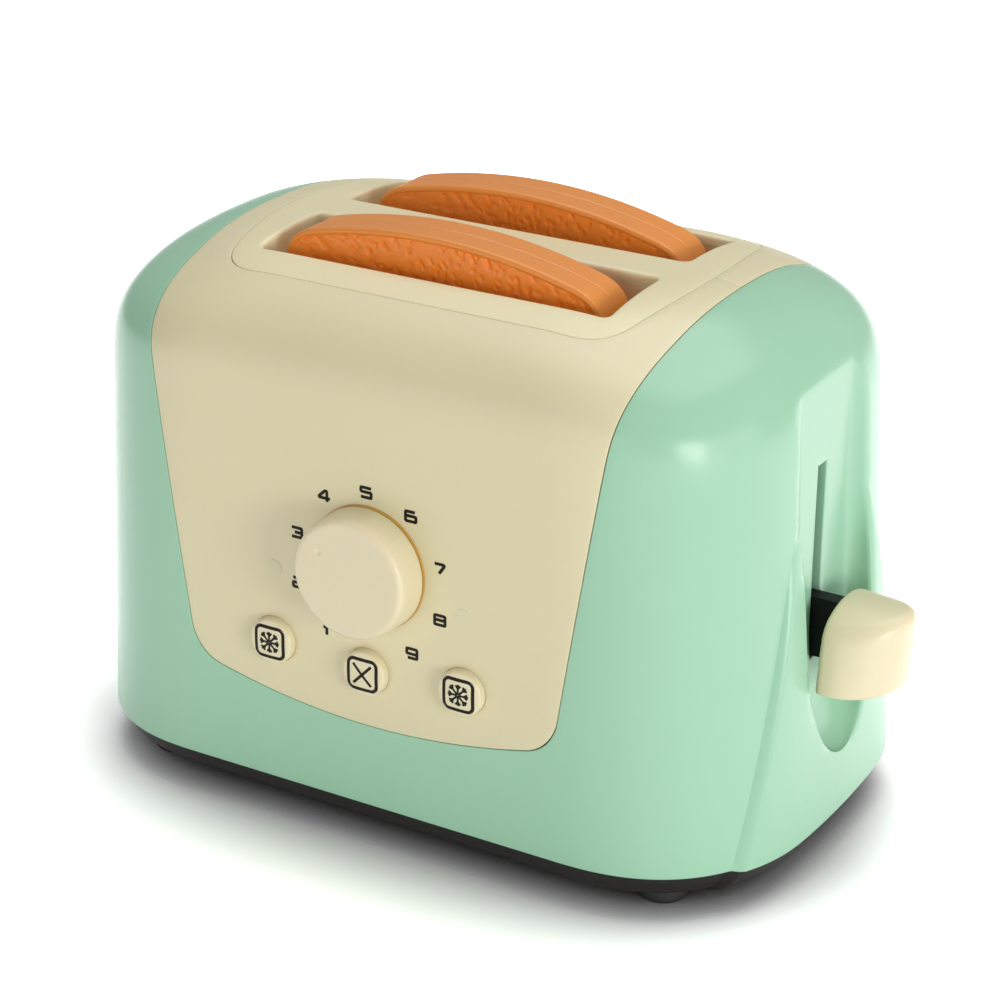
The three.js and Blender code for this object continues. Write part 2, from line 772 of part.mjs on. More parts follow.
function foot() {
  const [tread, side] = [footRadius * treadShare, footHeight - seam];
  return turnedZ([
    [0, 0],
    [tread, 0],
    [footRadius, side * chamferShare],
    [footRadius, side],
    [footPegRadius, side],
    [footPegRadius, footHeight + footPegLength],
    [0, footHeight + footPegLength],
  ], 12);
}

// Screws, head first along +Z, with a flat drive recess left to the finish
function screwProfile(radius, head, headHeight, length) {
  return [
    [0, 0],
    [head * headShare, 0],
    [head, headHeight * chamferShare],
    [head, headHeight],
    [radius, headHeight],
    [radius, length - radius],
    [0, length],
  ];
}

function baseScrew() {
  return turnedZ(screwProfile(baseScrewRadius, baseScrewHead, baseScrewHeadHeight, baseScrewLength), 8);
}

function smallScrew() {
  const profile = screwProfile(smallScrewRadius, smallScrewHead, smallScrewHeadHeight, smallScrewLength);
  const flipped = profile.map(([radius, along]) => [radius, -along]).reverse();
  return turnedY(flipped, 8);
}

// A rounded edge's middle point stands this share of its radius inside the corner
const roundShare = 0.29;

// Timer knob: a turned cup with a hub, and a dimple in its face as a pointer
function timerKnob() {
  const face = -knobLength;
  const bore = arborRadius + seam;
  const web = face + knobWall;
  const profile = [
    [0, face],
    [knobFaceRadius - knobEdge, face],
    [knobFaceRadius - knobEdge * roundShare, face + knobEdge * roundShare],
    [knobFaceRadius, face + knobEdge],
    [knobRadius, 0],
    [knobRadius - knobWall, 0],
    [knobFaceRadius - knobWall, web],
    [knobHubRadius, web],
    [knobHubRadius, 0],
    [bore, 0],
    [bore, web],
    [0, web],
  ];
  const turn = THREE.MathUtils.degToRad(pointerAngle);
  const dimple = new THREE.SphereGeometry(pointerDimple, 8, 4);
  dimple.translate(pointerRadius * Math.sin(turn), face - pointerDimple + pointerDepth,
    pointerRadius * Math.cos(turn));
  return solid(turnedY(profile, 24)).subtract(solid(dimple));
}

// Arbor: a shaft through both plates with the release cam near its rear end
function timerArbor() {
  const front = faceAt(knobZ) - knobGap - knobLength + knobWall + seam;
  const camFront = plateBack + plateThickness + seam;
  const camBack = camFront + camThickness;
  const shaft = solid(rodY(arborRadius, 0, 0, front, camBack, 16));
  const steps = 18;
  const outline = [];
  for (let k = 0; k < steps; k += 1) {
    const angle = (2 * Math.PI * k) / steps;
    const lift = camNose * Math.max(Math.cos(angle), 0) ** 4;
    const radius = camRadius + lift;
    outline.push(new THREE.Vector2(radius * Math.sin(angle), -radius * Math.cos(angle)));
  }
  return shaft.add(solid(frontFacing(new THREE.Shape(outline), camFront, camBack)));
}

function plateOutline(ears) {
  const shape = roundedRectangle(-plateLeft, plateRight, -plateDown, plateUp, plateCorner);
  let plate = solid(frontFacing(shape, 0, plateThickness, 4));
  if (ears) {
    for (const [x, side] of [[-plateLeft, -1], [plateRight, 1]]) {
      const centre = x + side * earReach;
      const bar = block(Math.min(x - side, centre), Math.max(x - side, centre), 0, plateThickness,
        -earRadius, earRadius);
      plate = plate.add(solid(bar)).add(solid(rodY(earRadius, centre, 0, 0, plateThickness)));
      plate = plate.subtract(solid(rodY(smallScrewRadius + seam, centre, 0, -overrun, overrun)));
    }
  }
  const holes = [
    rodY(arborRadius + seam, 0, 0, -overrun, overrun, 16),
    rodY(governorPivot + seam, gearCentres, 0, -overrun, overrun, 12),
  ];
  return cut(plate, ...holes.map(solid));
}

const gearCentres = (gearModule * (mainTeeth + pinionTeeth)) / 2 + gearPlay;

function pillars() {
  const places = [];
  for (const x of [-plateLeft + pillarInset, plateRight - pillarInset]) {
    for (const z of [-plateDown + pillarInset, plateUp - pillarInset]) places.push([x, z]);
  }
  return places.map(([x, z]) => solid(rodY(pillarRadius, x, z, seam - plateGap, weldDepth, 8)));
}

// Gear outline: straight-flanked teeth on a pitch circle, the first tooth centred on phase
function gearOutline(teeth, phase, boreRadius) {
  const pitch = (gearModule * teeth) / 2;
  const tip = pitch + gearModule * tipShare;
  const root = pitch - gearModule * rootShare;
  const points = [];
  for (let k = 0; k < teeth; k += 1) {
    const middle = phase + (2 * Math.PI * k) / teeth;
    const half = (Math.PI / teeth) * toothShare;
    for (const [radius, offset] of [[root, -1.5], [tip, -0.55], [tip, 0.55], [root, 1.5]]) {
      const angle = middle + offset * half;
      points.push(new THREE.Vector2(radius * Math.cos(angle), radius * Math.sin(angle)));
    }
  }
  const shape = new THREE.Shape(points);
  if (boreRadius > 0) {
    const hole = new THREE.Path();
    hole.absarc(0, 0, boreRadius, 0, 2 * Math.PI, true);
    shape.holes.push(hole);
  }
  return shape;
}

function mainGear() {
  return frontFacing(gearOutline(mainTeeth, 0, arborRadius + seam), 0, gearThickness);
}

// Governor: a pinion and a three-lobed fly on one thin arbor
function governor() {
  const pinion = frontFacing(gearOutline(pinionTeeth, Math.PI / pinionTeeth, 0), 0, gearThickness);
  const steps = 24;
  const lobes = [];
  for (let k = 0; k < steps; k += 1) {
    const angle = (2 * Math.PI * k) / steps;
    const radius = governorRadius + governorWave * Math.cos(3 * angle);
    lobes.push(new THREE.Vector2(radius * Math.cos(angle), radius * Math.sin(angle)));
  }
  const flyFront = gearThickness + layerGap;
  const fly = frontFacing(new THREE.Shape(lobes), flyFront, flyFront + governorThickness);
  const end = plateThickness + layerGap;
  const pivot = rodY(governorPivot, 0, 0, -end, plateGap - layerGap + plateThickness, 12);
  return union(solid(pinion), solid(fly), solid(pivot));
}

// Mainspring: one strip wound as a spiral, worked out on its middle line
function mainspring() {
  const steps = springTurns * springStepsPerTurn;
  const [outer, inner] = [[], []];
  for (let k = 0; k <= steps; k += 1) {
    const share = k / steps;
    const angle = 2 * Math.PI * springTurns * share;
    const middle = springInnerRadius + (springOuterRadius - springInnerRadius) * share;
    for (const [side, list] of [[1, outer], [-1, inner]]) {
      const radius = middle + (side * springStripThickness) / 2;
      list.push(new THREE.Vector2(radius * Math.cos(angle), radius * Math.sin(angle)));
    }
  }
  return frontFacing(new THREE.Shape([...outer, ...inner.reverse()]), 0, springStripHeight);
}

// Coil spring along +Z from 0 to length, one unbroken tube with a four-sided section
function coil(radius, wire, turns, length) {
  const sides = 4;
  const steps = turns * springStepsPerTurn;
  const rings = [];
  for (let k = 0; k <= steps; k += 1) {
    const share = k / steps;
    const angle = 2 * Math.PI * turns * share;
    const height = wire + (length - 2 * wire) * share;
    const ring = [];
    for (let j = 0; j < sides; j += 1) {
      const around = (-2 * Math.PI * j) / sides;
      const r = radius + wire * Math.cos(around);
      ring.push([r * Math.cos(angle), r * Math.sin(angle), height + wire * Math.sin(around)]);
    }
    rings.push(ring);
  }
  return loft(rings);
}

// Points of a button's crown: shares of its radius and of the crown's fall
const crownShares = [[0.5, 0.2], [0.82, 0.7], [1, 1.7]];

function pushButton(stemLength) {
  const front = -buttonProud;
  const flangeFront = wall + seam;
  const flangeBack = flangeFront + buttonFlangeThickness;
  return turnedY([
    [0, front],
    ...crownShares.map(([out, down]) => [buttonRadius * out, front + buttonCrown * down]),
    [buttonRadius, flangeFront],
    [buttonFlange, flangeFront],
    [buttonFlange, flangeBack],
    [buttonStem, flangeBack],
    [buttonStem, stemLength],
    [0, stemLength],
  ], 16);
}

function buttonCarrier() {
  const shape = roundedRectangle(-carrierHalfLength, carrierHalfLength, carrierZ - carrierHalfHeight,
    carrierZ + carrierHalfHeight, carrierCorner);
  let plate = solid(frontFacing(shape, carrierFront, carrierFront + carrierThickness, 3));
  for (const side of [-1, 1]) plate = plate.add(latchEar(side));
  const holes = buttonPlaces.map(({ x, z }) => rodY(buttonStem + seam, x, z, -bodyDepth, 0));
  for (const [x, z] of carrierScrews) holes.push(rodY(smallScrewRadius + seam, x, z, -bodyDepth, 0));
  holes.push(rodX(latchPinRadius + seam, -latchPivotY, latchZ, -farOut, farOut));
  return cut(plate, ...holes.map(solid));
}

// One of the two ears that stand behind the carrier and hold the latch pin
function latchEar(side) {
  const inner = latchHalfThickness + seam;
  const [low, high] = side > 0 ? [inner, inner + latchEarThickness] : [-inner - latchEarThickness, -inner];
  const bar = block(low, high, carrierFront + weldDepth, -latchPivotY, latchZ - latchEarRadius,
    latchZ + latchEarRadius);
  return union(solid(bar), solid(rodX(latchEarRadius, -latchPivotY, latchZ, low, high)));
}

// Openings that lighten the tray, as shares of its half length and of a slice's thickness
const lightPlaceShares = [-0.75, -0.25, 0.25, 0.75];
const lightShare = 1 / 5.5;
const lightDepthShare = 1 / 3;
const lightCornerShare = 1 / 8;

// Carriage: a tilted tray on two guide hubs, with a latch lug in front and the lever arm
function tiltedTray() {
  const plate = solid(block(-trayHalfLength, trayHalfLength, -trayHalfDepth, trayHalfDepth,
    -trayThickness, 0));
  let tray = plate;
  for (const side of [-1, 1]) {
    for (const edge of [-1, 1]) {
      const y = side * toastY + edge * (toastThickness / 2 + 2 * seam + trayRailThickness / 2);
      tray = tray.add(solid(block(-trayHalfLength, trayHalfLength, y - trayRailThickness / 2,
        y + trayRailThickness / 2, -trayThickness, trayRailHeight)));
    }
    for (const place of lightPlaceShares) {
      const x = place * trayHalfLength;
      const half = trayHalfLength * lightShare;
      const opening = roundedRectangle(x - half, x + half, side * toastY - toastThickness * lightDepthShare,
        side * toastY + toastThickness * lightDepthShare, toastThickness * lightCornerShare);
      tray = tray.subtract(solid(upright(opening, -trayThickness - overrun, overrun, 1)));
    }
  }
  const turned = geometryOf(tray).rotateY(THREE.MathUtils.degToRad(trayTilt)).translate(0, 0, trayZ);
  return solid(turned);
}

function latchLug() {
  return solid(block(-lugHalfWidth, lugHalfWidth, -trayHalfDepth - lugReach, -trayHalfDepth + overrun,
    trayZ - trayThickness, trayZ + lugRise));
}

function carriage() {
  const spine = block(-postX, postX, -spineHalfWidth, spineHalfWidth, hubZ, trayZ - trayThickness / 2);
  let body = union(tiltedTray(), latchLug(), solid(spine));
  for (const side of [-1, 1]) {
    body = union(body,
      solid(rodZ(hubRadius, side * postX, 0, hubZ, hubZ + hubHeight)),
      solid(rodZ(springSeatRadius, side * postX, 0, hubZ, hubZ + springSeatHeight)));
  }
  const armEnd = scoopFloorX + leverKnobGap + armSocketDepth;
  body = body.add(solid(block(postX, armEnd, -armHalfThickness, armHalfThickness, armZ, armZ + armHeight)));
  const bores = [-1, 1].map((side) => rodZ(postRadius + seam, side * postX, 0, 0, bodyTop));
  return cut(body, ...bores.map(solid));
}

// Lever knob: an arched bar that falls away outwards, met by a rounded nose that widens downwards
function leverKnob() {
  const foot = edgeHeight + leverKnobFoot;
  const crown = foot + leverKnobHeight;
  const inner = scoopFloorX + leverKnobGap;
  const spring = crown - leverKnobArch;
  const arch = new THREE.Shape();
  arch.moveTo(-leverKnobFootHalf, foot - overrun);
  arch.lineTo(leverKnobFootHalf, foot - overrun);
  arch.lineTo(leverKnobCrownHalf, spring);
  arch.absellipse(0, spring, leverKnobCrownHalf, leverKnobArch, 0, Math.PI);
  const bar = endFacing(arch, 0, leverKnobReach + leverKnobFlare + overrun, 6);
  bar.translate(0, 0, -crown).rotateY(THREE.MathUtils.degToRad(leverKnobFall)).translate(inner, 0, crown);
  const steps = 14;
  const plan = (climb) => {
    const half = leverKnobFootHalf + (leverKnobCrownHalf - leverKnobFootHalf) * climb;
    const nose = leverKnobReach - leverKnobStraight + leverKnobFlare * climb;
    const ring = [];
    for (let k = 0; k <= steps; k += 1) {
      const angle = -Math.PI / 2 + (Math.PI * k) / steps;
      ring.push([inner + leverKnobStraight + nose * Math.cos(angle), half * Math.sin(angle)]);
    }
    ring.push([inner, half], [inner, -half]);
    return ring.map(([x, y]) => [x, y, foot + leverKnobHeight * climb]);
  };
  const noseForm = loft([plan(0), plan(1 + overrun / leverKnobHeight)]);
  const socket = block(inner - overrun, inner + armSocketDepth + seam, -armHalfThickness - seam,
    armHalfThickness + seam, armZ - seam, armZ + armHeight + seam);
  return solid(bar).intersect(solid(noseForm)).subtract(solid(socket));
}

// Latch: a rocker whose tooth swings over the carriage's lug, with a tail behind the middle button
function latch() {
  const outline = [
    [latchFront, 0],
    [latchNeck, latchArmHeight],
    [latchToothReach, latchArmHeight],
    [latchToothReach, latchArmHeight + latchToothDepth],
    [-latchNeck, latchHeadHeight],
    [-latchFront, latchHeadHeight - latchToothDepth],
    [-latchFront, latchFront],
    [latchTailThickness - latchTailReach, latchTailThickness - latchTailDrop / 2],
    [-latchTailReach, -latchTailDrop / 2],
    [-latchTailReach, -latchTailDrop],
    [latchTailThickness - latchTailReach, -latchTailDrop],
    [latchTailThickness - latchTailReach + latchNeck, -latchTailDrop / 2 - latchNeck],
    [0, -latchFront],
  ];
  const shape = new THREE.Shape(outline.map(([y, z]) => new THREE.Vector2(y - latchPivotY, z + latchZ)));
  const arm = solid(endFacing(shape, -latchHalfThickness, latchHalfThickness));
  const eye = solid(rodX(latchEyeRadius, -latchPivotY, latchZ, -latchHalfThickness, latchHalfThickness));
  const bore = solid(rodX(latchPinRadius + seam, -latchPivotY, latchZ, -farOut, farOut));
  return arm.add(eye).subtract(bore);
}

// A slice: one bread outline extruded with eased edges, both faces sunk inside the crust
function toastOutline(inset) {
  const crown = toastHeight - inset;
  const half = toastHalfWidth - inset;
  const waist = toastWaist - inset;
  const flat = half - toastShoulder;
  const slope = (2 * toastDome * flat) / half ** 2;
  const edge = crown - (slope * flat) / 2;
  const side = edge - toastShoulder * shoulderShare;
  const bulge = (toastWaistHeight + side) / 2;
  const shape = new THREE.Shape();
  shape.moveTo(-waist + toastCorner, inset);
  shape.lineTo(waist - toastCorner, inset);
  shape.quadraticCurveTo(waist, inset, waist, inset + toastCorner);
  shape.lineTo(waist, toastWaistHeight);
  shape.quadraticCurveTo(half, bulge, half, side);
  shape.quadraticCurveTo(half, edge - slope * toastShoulder, flat, edge);
  shape.quadraticCurveTo(0, 2 * crown - edge, -flat, edge);
  shape.quadraticCurveTo(-half, edge - slope * toastShoulder, -half, side);
  shape.quadraticCurveTo(-half, bulge, -waist, toastWaistHeight);
  shape.lineTo(-waist, inset + toastCorner);
  shape.quadraticCurveTo(-waist, inset, -waist + toastCorner, inset);
  return shape;
}

const shoulderShare = 1.2;

function toastSlice() {
  const options = {
    depth: toastThickness - 2 * toastBevel,
    bevelEnabled: true,
    bevelThickness: toastBevel,
    bevelSize: toastBevel,
    bevelOffset: -toastBevel,
    bevelSegments: 1,
    curveSegments: 4,
  };
  const slab = new THREE.ExtrudeGeometry(toastOutline(0), options);
  slab.rotateX(Math.PI / 2).translate(0, toastThickness / 2 - toastBevel, 0);
  const half = toastThickness / 2;
  const front = solid(frontFacing(toastOutline(crustWidth), -half - overrun, -half + crustDepth, 4));
  const back = solid(frontFacing(toastOutline(crustWidth), half - crustDepth, half + overrun, 4));
  return cut(solid(slab), front, back);
}

function addToast(name, side) {
  const slice = addPiece(name, toastSlice(), "toast");
  slice.rotation.y = THREE.MathUtils.degToRad(trayTilt);
  const rest = seam + toastShift * Math.sin(slice.rotation.y);
  slice.position.set(-toastShift, side * toastY, trayZ + rest);
}

// Assembly, from the shell inwards
addPiece("body_shell", bodyShell(), "mint");
addPiece("front_panel", frontPanel(), "cream");
addPiece("back_panel", creamPanel(backHalf), "cream");
addPiece("slot_bezel", slotBezel(), "cream");
addPiece("base_plate", basePlate(), "black");

const corners = [[1, -1], [-1, -1], [1, 1], [-1, 1]];
corners.forEach(([sideX, sideY], k) => {
  addPiece(`foot_${k + 1}`, foot(), "rubber", [sideX * footX, sideY * footY, 0]);
  addPiece(`base_screw_${k + 1}`, baseScrew(), "steel", [sideX * columnX, sideY * columnY, footHeight]);
});

const knobBack = faceAt(knobZ) - knobGap;
const gearFront = plateFront + plateThickness + layerGap;
addPiece("timer_knob", timerKnob(), "knobCream", [knobX, knobBack, knobZ]);
addPiece("timer_arbor", timerArbor(), "steel", [knobX, 0, knobZ]);
addPiece("timer_front_plate", plateOutline(true), "brass", [knobX, plateFront, knobZ]);
addPiece("timer_back_plate", union(plateOutline(false), ...pillars()), "brass", [knobX, plateBack, knobZ]);
addPiece("main_gear", mainGear(), "brass", [knobX, gearFront, knobZ]);
addPiece("governor", governor(), "steel", [knobX + gearCentres, gearFront, knobZ]);
addPiece("mainspring", mainspring(), "steel", [knobX, gearFront + gearThickness + seam, knobZ]);
timerScrews.forEach(([x, z], k) => {
  const head = plateFront + plateThickness + smallScrewHeadHeight + seam;
  addPiece(`timer_screw_${k + 1}`, smallScrew(), "steel", [x, head, z]);
});

addPiece("button_carrier", buttonCarrier(), "white");
carrierScrews.forEach(([x, z], k) => {
  const head = carrierFront + carrierThickness + smallScrewHeadHeight + seam;
  addPiece(`carrier_screw_${k + 1}`, smallScrew(), "steel", [x, head, z]);
});
buttonPlaces.forEach(({ name, x, z }) => {
  const surface = faceAt(z);
  const stemLength = carrierFront + carrierThickness + stemOverhang - surface;
  addPiece(name, pushButton(stemLength), "knobCream", [x, surface, z]);
  const room = carrierFront - surface - wall - 2 * seam - buttonFlangeThickness - buttonTravel;
  const spring = coil(buttonSpringRadius, buttonSpringWire, buttonSpringTurns, room - seam);
  spring.rotateX(Math.PI / 2);
  addPiece(`${name}_spring`, spring, "steel", [x, carrierFront - seam, z]);
});

addPiece("carriage", carriage(), "black");
addPiece("lever_knob", leverKnob(), "knobCream");
const bossTop = baseFloorTop + postSocket + baseFloor;
const postTop = bodyTop - wall - overrun - seam;
[["left", -1], ["right", 1]].forEach(([name, side]) => {
  const post = rodZ(postRadius, side * postX, 0, bossTop - postSocket + seam, postTop, 16);
  addPiece(`guide_post_${name}`, post, "steel");
});
const liftSpringFoot = bossTop + seam;
const liftSpring = coil(liftSpringRadius, liftSpringWire, liftSpringTurns, hubZ - seam - liftSpringFoot);
addPiece("lift_spring", liftSpring, "steel", [postX, 0, liftSpringFoot]);
addPiece("latch", latch(), "white");
const latchPin = rodX(latchPinRadius, -latchPivotY, latchZ, -latchPinLength / 2, latchPinLength / 2);
addPiece("latch_pin", latchPin, "steel");
addToast("toast_front", -1);
addToast("toast_back", 1);

// The origin is on the ground under the middle of the overall box
const box = new THREE.Box3().setFromObject(toaster);
toaster.position.set(-(box.min.x + box.max.x) / 2, -(box.min.y + box.max.y) / 2, -box.min.z);

export default toaster;
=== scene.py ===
# Toy toaster: the looks of the assembly, in metres, +Z up, front towards -Y.
# Lengths in the sections are millimetres about the body's own middle, as in the part's source,
# and placed() turns them into the frame's metres.
from math import cos, pi, radians, sin, tan

import bmesh
import bpy
import numpy as np
from mathutils import Matrix, Vector
from mathutils.geometry import delaunay_2d_cdt


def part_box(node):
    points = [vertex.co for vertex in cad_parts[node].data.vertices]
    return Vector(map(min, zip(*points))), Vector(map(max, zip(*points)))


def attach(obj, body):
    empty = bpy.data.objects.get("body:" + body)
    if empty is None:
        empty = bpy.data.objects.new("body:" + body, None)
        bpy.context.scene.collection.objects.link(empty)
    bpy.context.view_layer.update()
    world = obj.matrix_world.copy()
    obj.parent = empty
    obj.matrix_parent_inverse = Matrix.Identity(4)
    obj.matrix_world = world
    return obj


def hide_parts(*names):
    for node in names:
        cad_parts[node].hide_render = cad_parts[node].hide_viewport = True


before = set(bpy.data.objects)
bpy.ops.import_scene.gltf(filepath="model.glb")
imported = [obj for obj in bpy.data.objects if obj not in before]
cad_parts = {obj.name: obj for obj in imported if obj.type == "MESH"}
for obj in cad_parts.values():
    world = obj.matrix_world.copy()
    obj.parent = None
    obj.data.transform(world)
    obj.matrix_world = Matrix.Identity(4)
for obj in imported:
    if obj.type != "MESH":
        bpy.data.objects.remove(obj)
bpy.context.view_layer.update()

# Camera: at the photograph's viewing angle, aimed at the middle of the body. The two guide
# posts stand symmetrically about the body's own middle, so they give its place in the frame.
post_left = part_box("guide_post_left")
post_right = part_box("guide_post_right")
middle = np.array([
    (post_left[0][0] + post_right[1][0]) / 2,
    (post_left[0][1] + post_left[1][1]) / 2,
    0.0,
])


def placed(points):
    """Millimetres about the body's middle as metres in the frame."""
    return np.asarray(points, float) / 1000 + middle


turn, rise, roll = radians(30.342), radians(23.392), radians(0.461)
aim, camera_away, camera_lens = (0.877, 0, 64.67), 0.6395, 99.425
back = Vector((sin(turn) * cos(rise), -cos(turn) * cos(rise), sin(rise)))
right = Vector((cos(turn), sin(turn), 0))
above = back.cross(right)
facing = Matrix((right, above, back)).transposed() @ Matrix.Rotation(roll, 3, "Z")
stand = Vector(placed(aim)) + back * camera_away
camera = bpy.data.objects.new("camera", bpy.data.cameras.new("camera"))
bpy.context.scene.collection.objects.link(camera)
camera.matrix_world = Matrix.Translation(stand) @ facing.to_4x4()
camera.data.sensor_width = 36
camera.data.lens = camera_lens
camera.data.clip_start = 0.01
bpy.context.scene.camera = camera
bpy.context.scene.view_settings.view_transform = "Standard"


# Floor: a plain pale sheet. The camera and reflections see a brighter white than it throws
# back on the object, and it keeps the object's shadow, deepened close by with painted shade.
def add_mesh(name, verts, faces, body=None, smooth=True):
    """A mesh object at the origin from vertices in metres, on the CAD body that it rides on. Where
    it is smooth, edges sharper than 42 degrees stay crisp."""
    mesh = bpy.data.meshes.new(name)
    mesh.from_pydata(np.asarray(verts, float).tolist(), [], np.asarray(faces).tolist())
    mesh.validate()
    obj = bpy.data.objects.new(name, mesh)
    bpy.context.scene.collection.objects.link(obj)
    if smooth:
        mesh.shade_smooth()
        mesh.set_sharp_from_angle(angle=radians(42))
    if body:
        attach(obj, body)
    return obj


def new_material(name):
    """A material with an empty node tree, its tree and a short way to add a node."""
    material = bpy.data.materials.new(name)
    material.use_nodes = True
    tree = material.node_tree
    tree.nodes.clear()

    def add(kind, **inputs):
        """A node of the kind with the given values on its sockets."""
        node = tree.nodes.new(kind)
        for key, value in inputs.items():
            node.inputs[key.replace("_", " ")].default_value = value
        return node

    return material, tree, add


def paint(obj, material):
    """Puts the material on every slot of the object."""
    if not obj.material_slots:
        obj.data.materials.append(material)
    for place in obj.material_slots:
        place.material = material


# The white that the camera sees darkens close to the object as painted shade: it is the open
# share of the sky within shade_reach, to the power shade_power, times shade_gain.
floor_size, shade_reach, shade_power, shade_gain = 1.3, 0.05, 1.25, 2.5
corners = np.array([(-1, -1, 0), (1, -1, 0), (1, 1, 0), (-1, 1, 0)]) * floor_size
floor = add_mesh("floor", corners, [(0, 1, 2, 3)], smooth=False)
floor_look, tree, add = new_material("floor_look")
plain = add("ShaderNodeBsdfDiffuse", Color=(0.86, 0.86, 0.87, 1))
bright = add("ShaderNodeBsdfDiffuse")
# Painted shade: ambient occlusion darkens the camera's white of the floor near the object.
near = add("ShaderNodeAmbientOcclusion", Distance=shade_reach)
near.samples = 8
deeper = add("ShaderNodeMath")
deeper.operation = "POWER"
deeper.inputs[1].default_value = shade_power
lift = add("ShaderNodeMapRange")
lift.inputs["To Min"].default_value = 0.0
lift.inputs["To Max"].default_value = shade_gain
tree.links.new(near.outputs["AO"], deeper.inputs[0])
tree.links.new(deeper.outputs[0], lift.inputs["Value"])
tree.links.new(lift.outputs[0], bright.inputs["Color"])
path = add("ShaderNodeLightPath")
seen = add("ShaderNodeMath")
seen.operation = "MAXIMUM"
seen_too = add("ShaderNodeMath")
seen_too.operation = "MAXIMUM"
choose = add("ShaderNodeMixShader")
out = add("ShaderNodeOutputMaterial")
tree.links.new(path.outputs["Is Camera Ray"], seen.inputs[0])
tree.links.new(path.outputs["Is Glossy Ray"], seen.inputs[1])
tree.links.new(seen.outputs[0], seen_too.inputs[0])
tree.links.new(path.outputs["Is Transmission Ray"], seen_too.inputs[1])
tree.links.new(seen_too.outputs[0], choose.inputs[0])
tree.links.new(plain.outputs[0], choose.inputs[1])
tree.links.new(bright.outputs[0], choose.inputs[2])
tree.links.new(choose.outputs[0], out.inputs[0])
paint(floor, floor_look)


# Light: a big soft lamp overhead and a little behind, a small one on the right, two low pale
# cards in front and on the right, and an even dim surround that the camera sees as white.
def add_lamp(name, size, power, place, target=(0, 0, 0.06)):
    """A rectangular lamp of the given size at place, turned to face the target, all in metres."""
    lamp = bpy.data.lights.new(name, "AREA")
    lamp.shape = "RECTANGLE"
    lamp.size, lamp.size_y = size
    lamp.energy = power
    obj = bpy.data.objects.new(name, lamp)
    bpy.context.scene.collection.objects.link(obj)
    obj.location = place
    obj.rotation_euler = (Vector(target) - Vector(place)).to_track_quat("-Z", "Y").to_euler()


add_lamp("high_lamp", (1.2, 0.9), 7.5, (0.0, 0.35, 1.08))
add_lamp("small_lamp", (0.4, 0.42), 6.2, (1.16, -0.565, 0.21), target=(0.07, -0.04, 0.1))
add_lamp("front_card", (1.5, 0.4), 3.4, (-0.1, -1.3, 0.28))
add_lamp("right_card", (0.9, 0.4), 2.3, (1.25, 0.1, 0.26))
world = bpy.data.worlds.new("surround")
world.use_nodes = True
bpy.context.scene.world = world
sky = world.node_tree.nodes["Background"]
sky.inputs["Color"].default_value = (1, 1, 1, 1)
sky.inputs["Strength"].default_value = 0.33
sky_seen = world.node_tree.nodes.new("ShaderNodeBackground")
sky_seen.inputs["Color"].default_value = (1, 1, 1, 1)
sky_seen.inputs["Strength"].default_value = 1
sky_path = world.node_tree.nodes.new("ShaderNodeLightPath")
sky_mix = world.node_tree.nodes.new("ShaderNodeMixShader")
world.node_tree.links.new(sky_path.outputs["Is Camera Ray"], sky_mix.inputs[0])
world.node_tree.links.new(sky.outputs[0], sky_mix.inputs[1])
world.node_tree.links.new(sky_seen.outputs[0], sky_mix.inputs[2])
world.node_tree.links.new(sky_mix.outputs[0], world.node_tree.nodes["World Output"].inputs[0])


# Body shell: one moulding of glossy mint plastic round both ends and under the window, with a
# raised apron, a finger scoop and the lever slot at the right end. It is made as one surface
# from the body's formula, then given its wall and softly turned borders.
def moulded(name, colour, roughness, mottle=0.03, bump=0.02, scale=220.0, specular=0.5,
            subsurface=0.0, metal=0.0):
    """A moulded plastic, or a plain metal. Broad noise over Object coordinates sways its colour by
    the share mottle, and fine noise sways its roughness and lifts its surface a little."""
    sway, grain_height, glow_depth = 0.12, 0.0004, 0.002
    material, tree, add = new_material(name)
    place = add("ShaderNodeTexCoord")
    broad = add("ShaderNodeTexNoise", Scale=scale * 0.12, Detail=2.0)
    fine = add("ShaderNodeTexNoise", Scale=scale * 4, Detail=3.0)
    tint = add("ShaderNodeMixRGB")
    tint.inputs[1].default_value = (*[c * (1 - mottle) for c in colour], 1)
    tint.inputs[2].default_value = (*[min(c * (1 + mottle), 1) for c in colour], 1)
    rough = add("ShaderNodeMapRange")
    rough.inputs["To Min"].default_value = roughness * (1 - sway)
    rough.inputs["To Max"].default_value = roughness * (1 + sway)
    relief = add("ShaderNodeBump", Strength=bump, Distance=grain_height)
    shader = add("ShaderNodeBsdfPrincipled")
    shader.inputs["Metallic"].default_value = metal
    shader.inputs["Specular IOR Level"].default_value = specular
    shader.inputs["Subsurface Weight"].default_value = subsurface
    shader.inputs["Subsurface Scale"].default_value = glow_depth
    out = add("ShaderNodeOutputMaterial")
    link = tree.links.new
    link(place.outputs["Object"], broad.inputs["Vector"])
    link(place.outputs["Object"], fine.inputs["Vector"])
    link(broad.outputs["Fac"], tint.inputs[0])
    link(fine.outputs["Fac"], rough.inputs["Value"])
    link(fine.outputs["Fac"], relief.inputs["Height"])
    link(tint.outputs[0], shader.inputs["Base Color"])
    link(rough.outputs[0], shader.inputs["Roughness"])
    link(relief.outputs[0], shader.inputs["Normal"])
    link(shader.outputs[0], out.inputs[0])
    return material


# The body's form: the foot of the walls, their height, the flat top, the plastic's wall and the
# seams. Each side reaches out at the foot, leans in up its height, and at the shoulder draws in
# over a drop. The plan has a rounded corner and bowed ends.
edge, tall, top, wall, seam = 10.5, 118.0, 128.5, 2.2, 0.3
lever_reach, lever_lean, plain_reach, plain_lean = 88.5, 6.3, 89.4, 5.0
end_drop, end_draw, end_bow, plan_corner = 29.0, 33.9, 5.2, 38.9
front_reach, front_lean, front_drop, front_draw = 55.4, 0.7, 22.1, 43.7
plan_power, shoulder_power = 2.56, 2.29
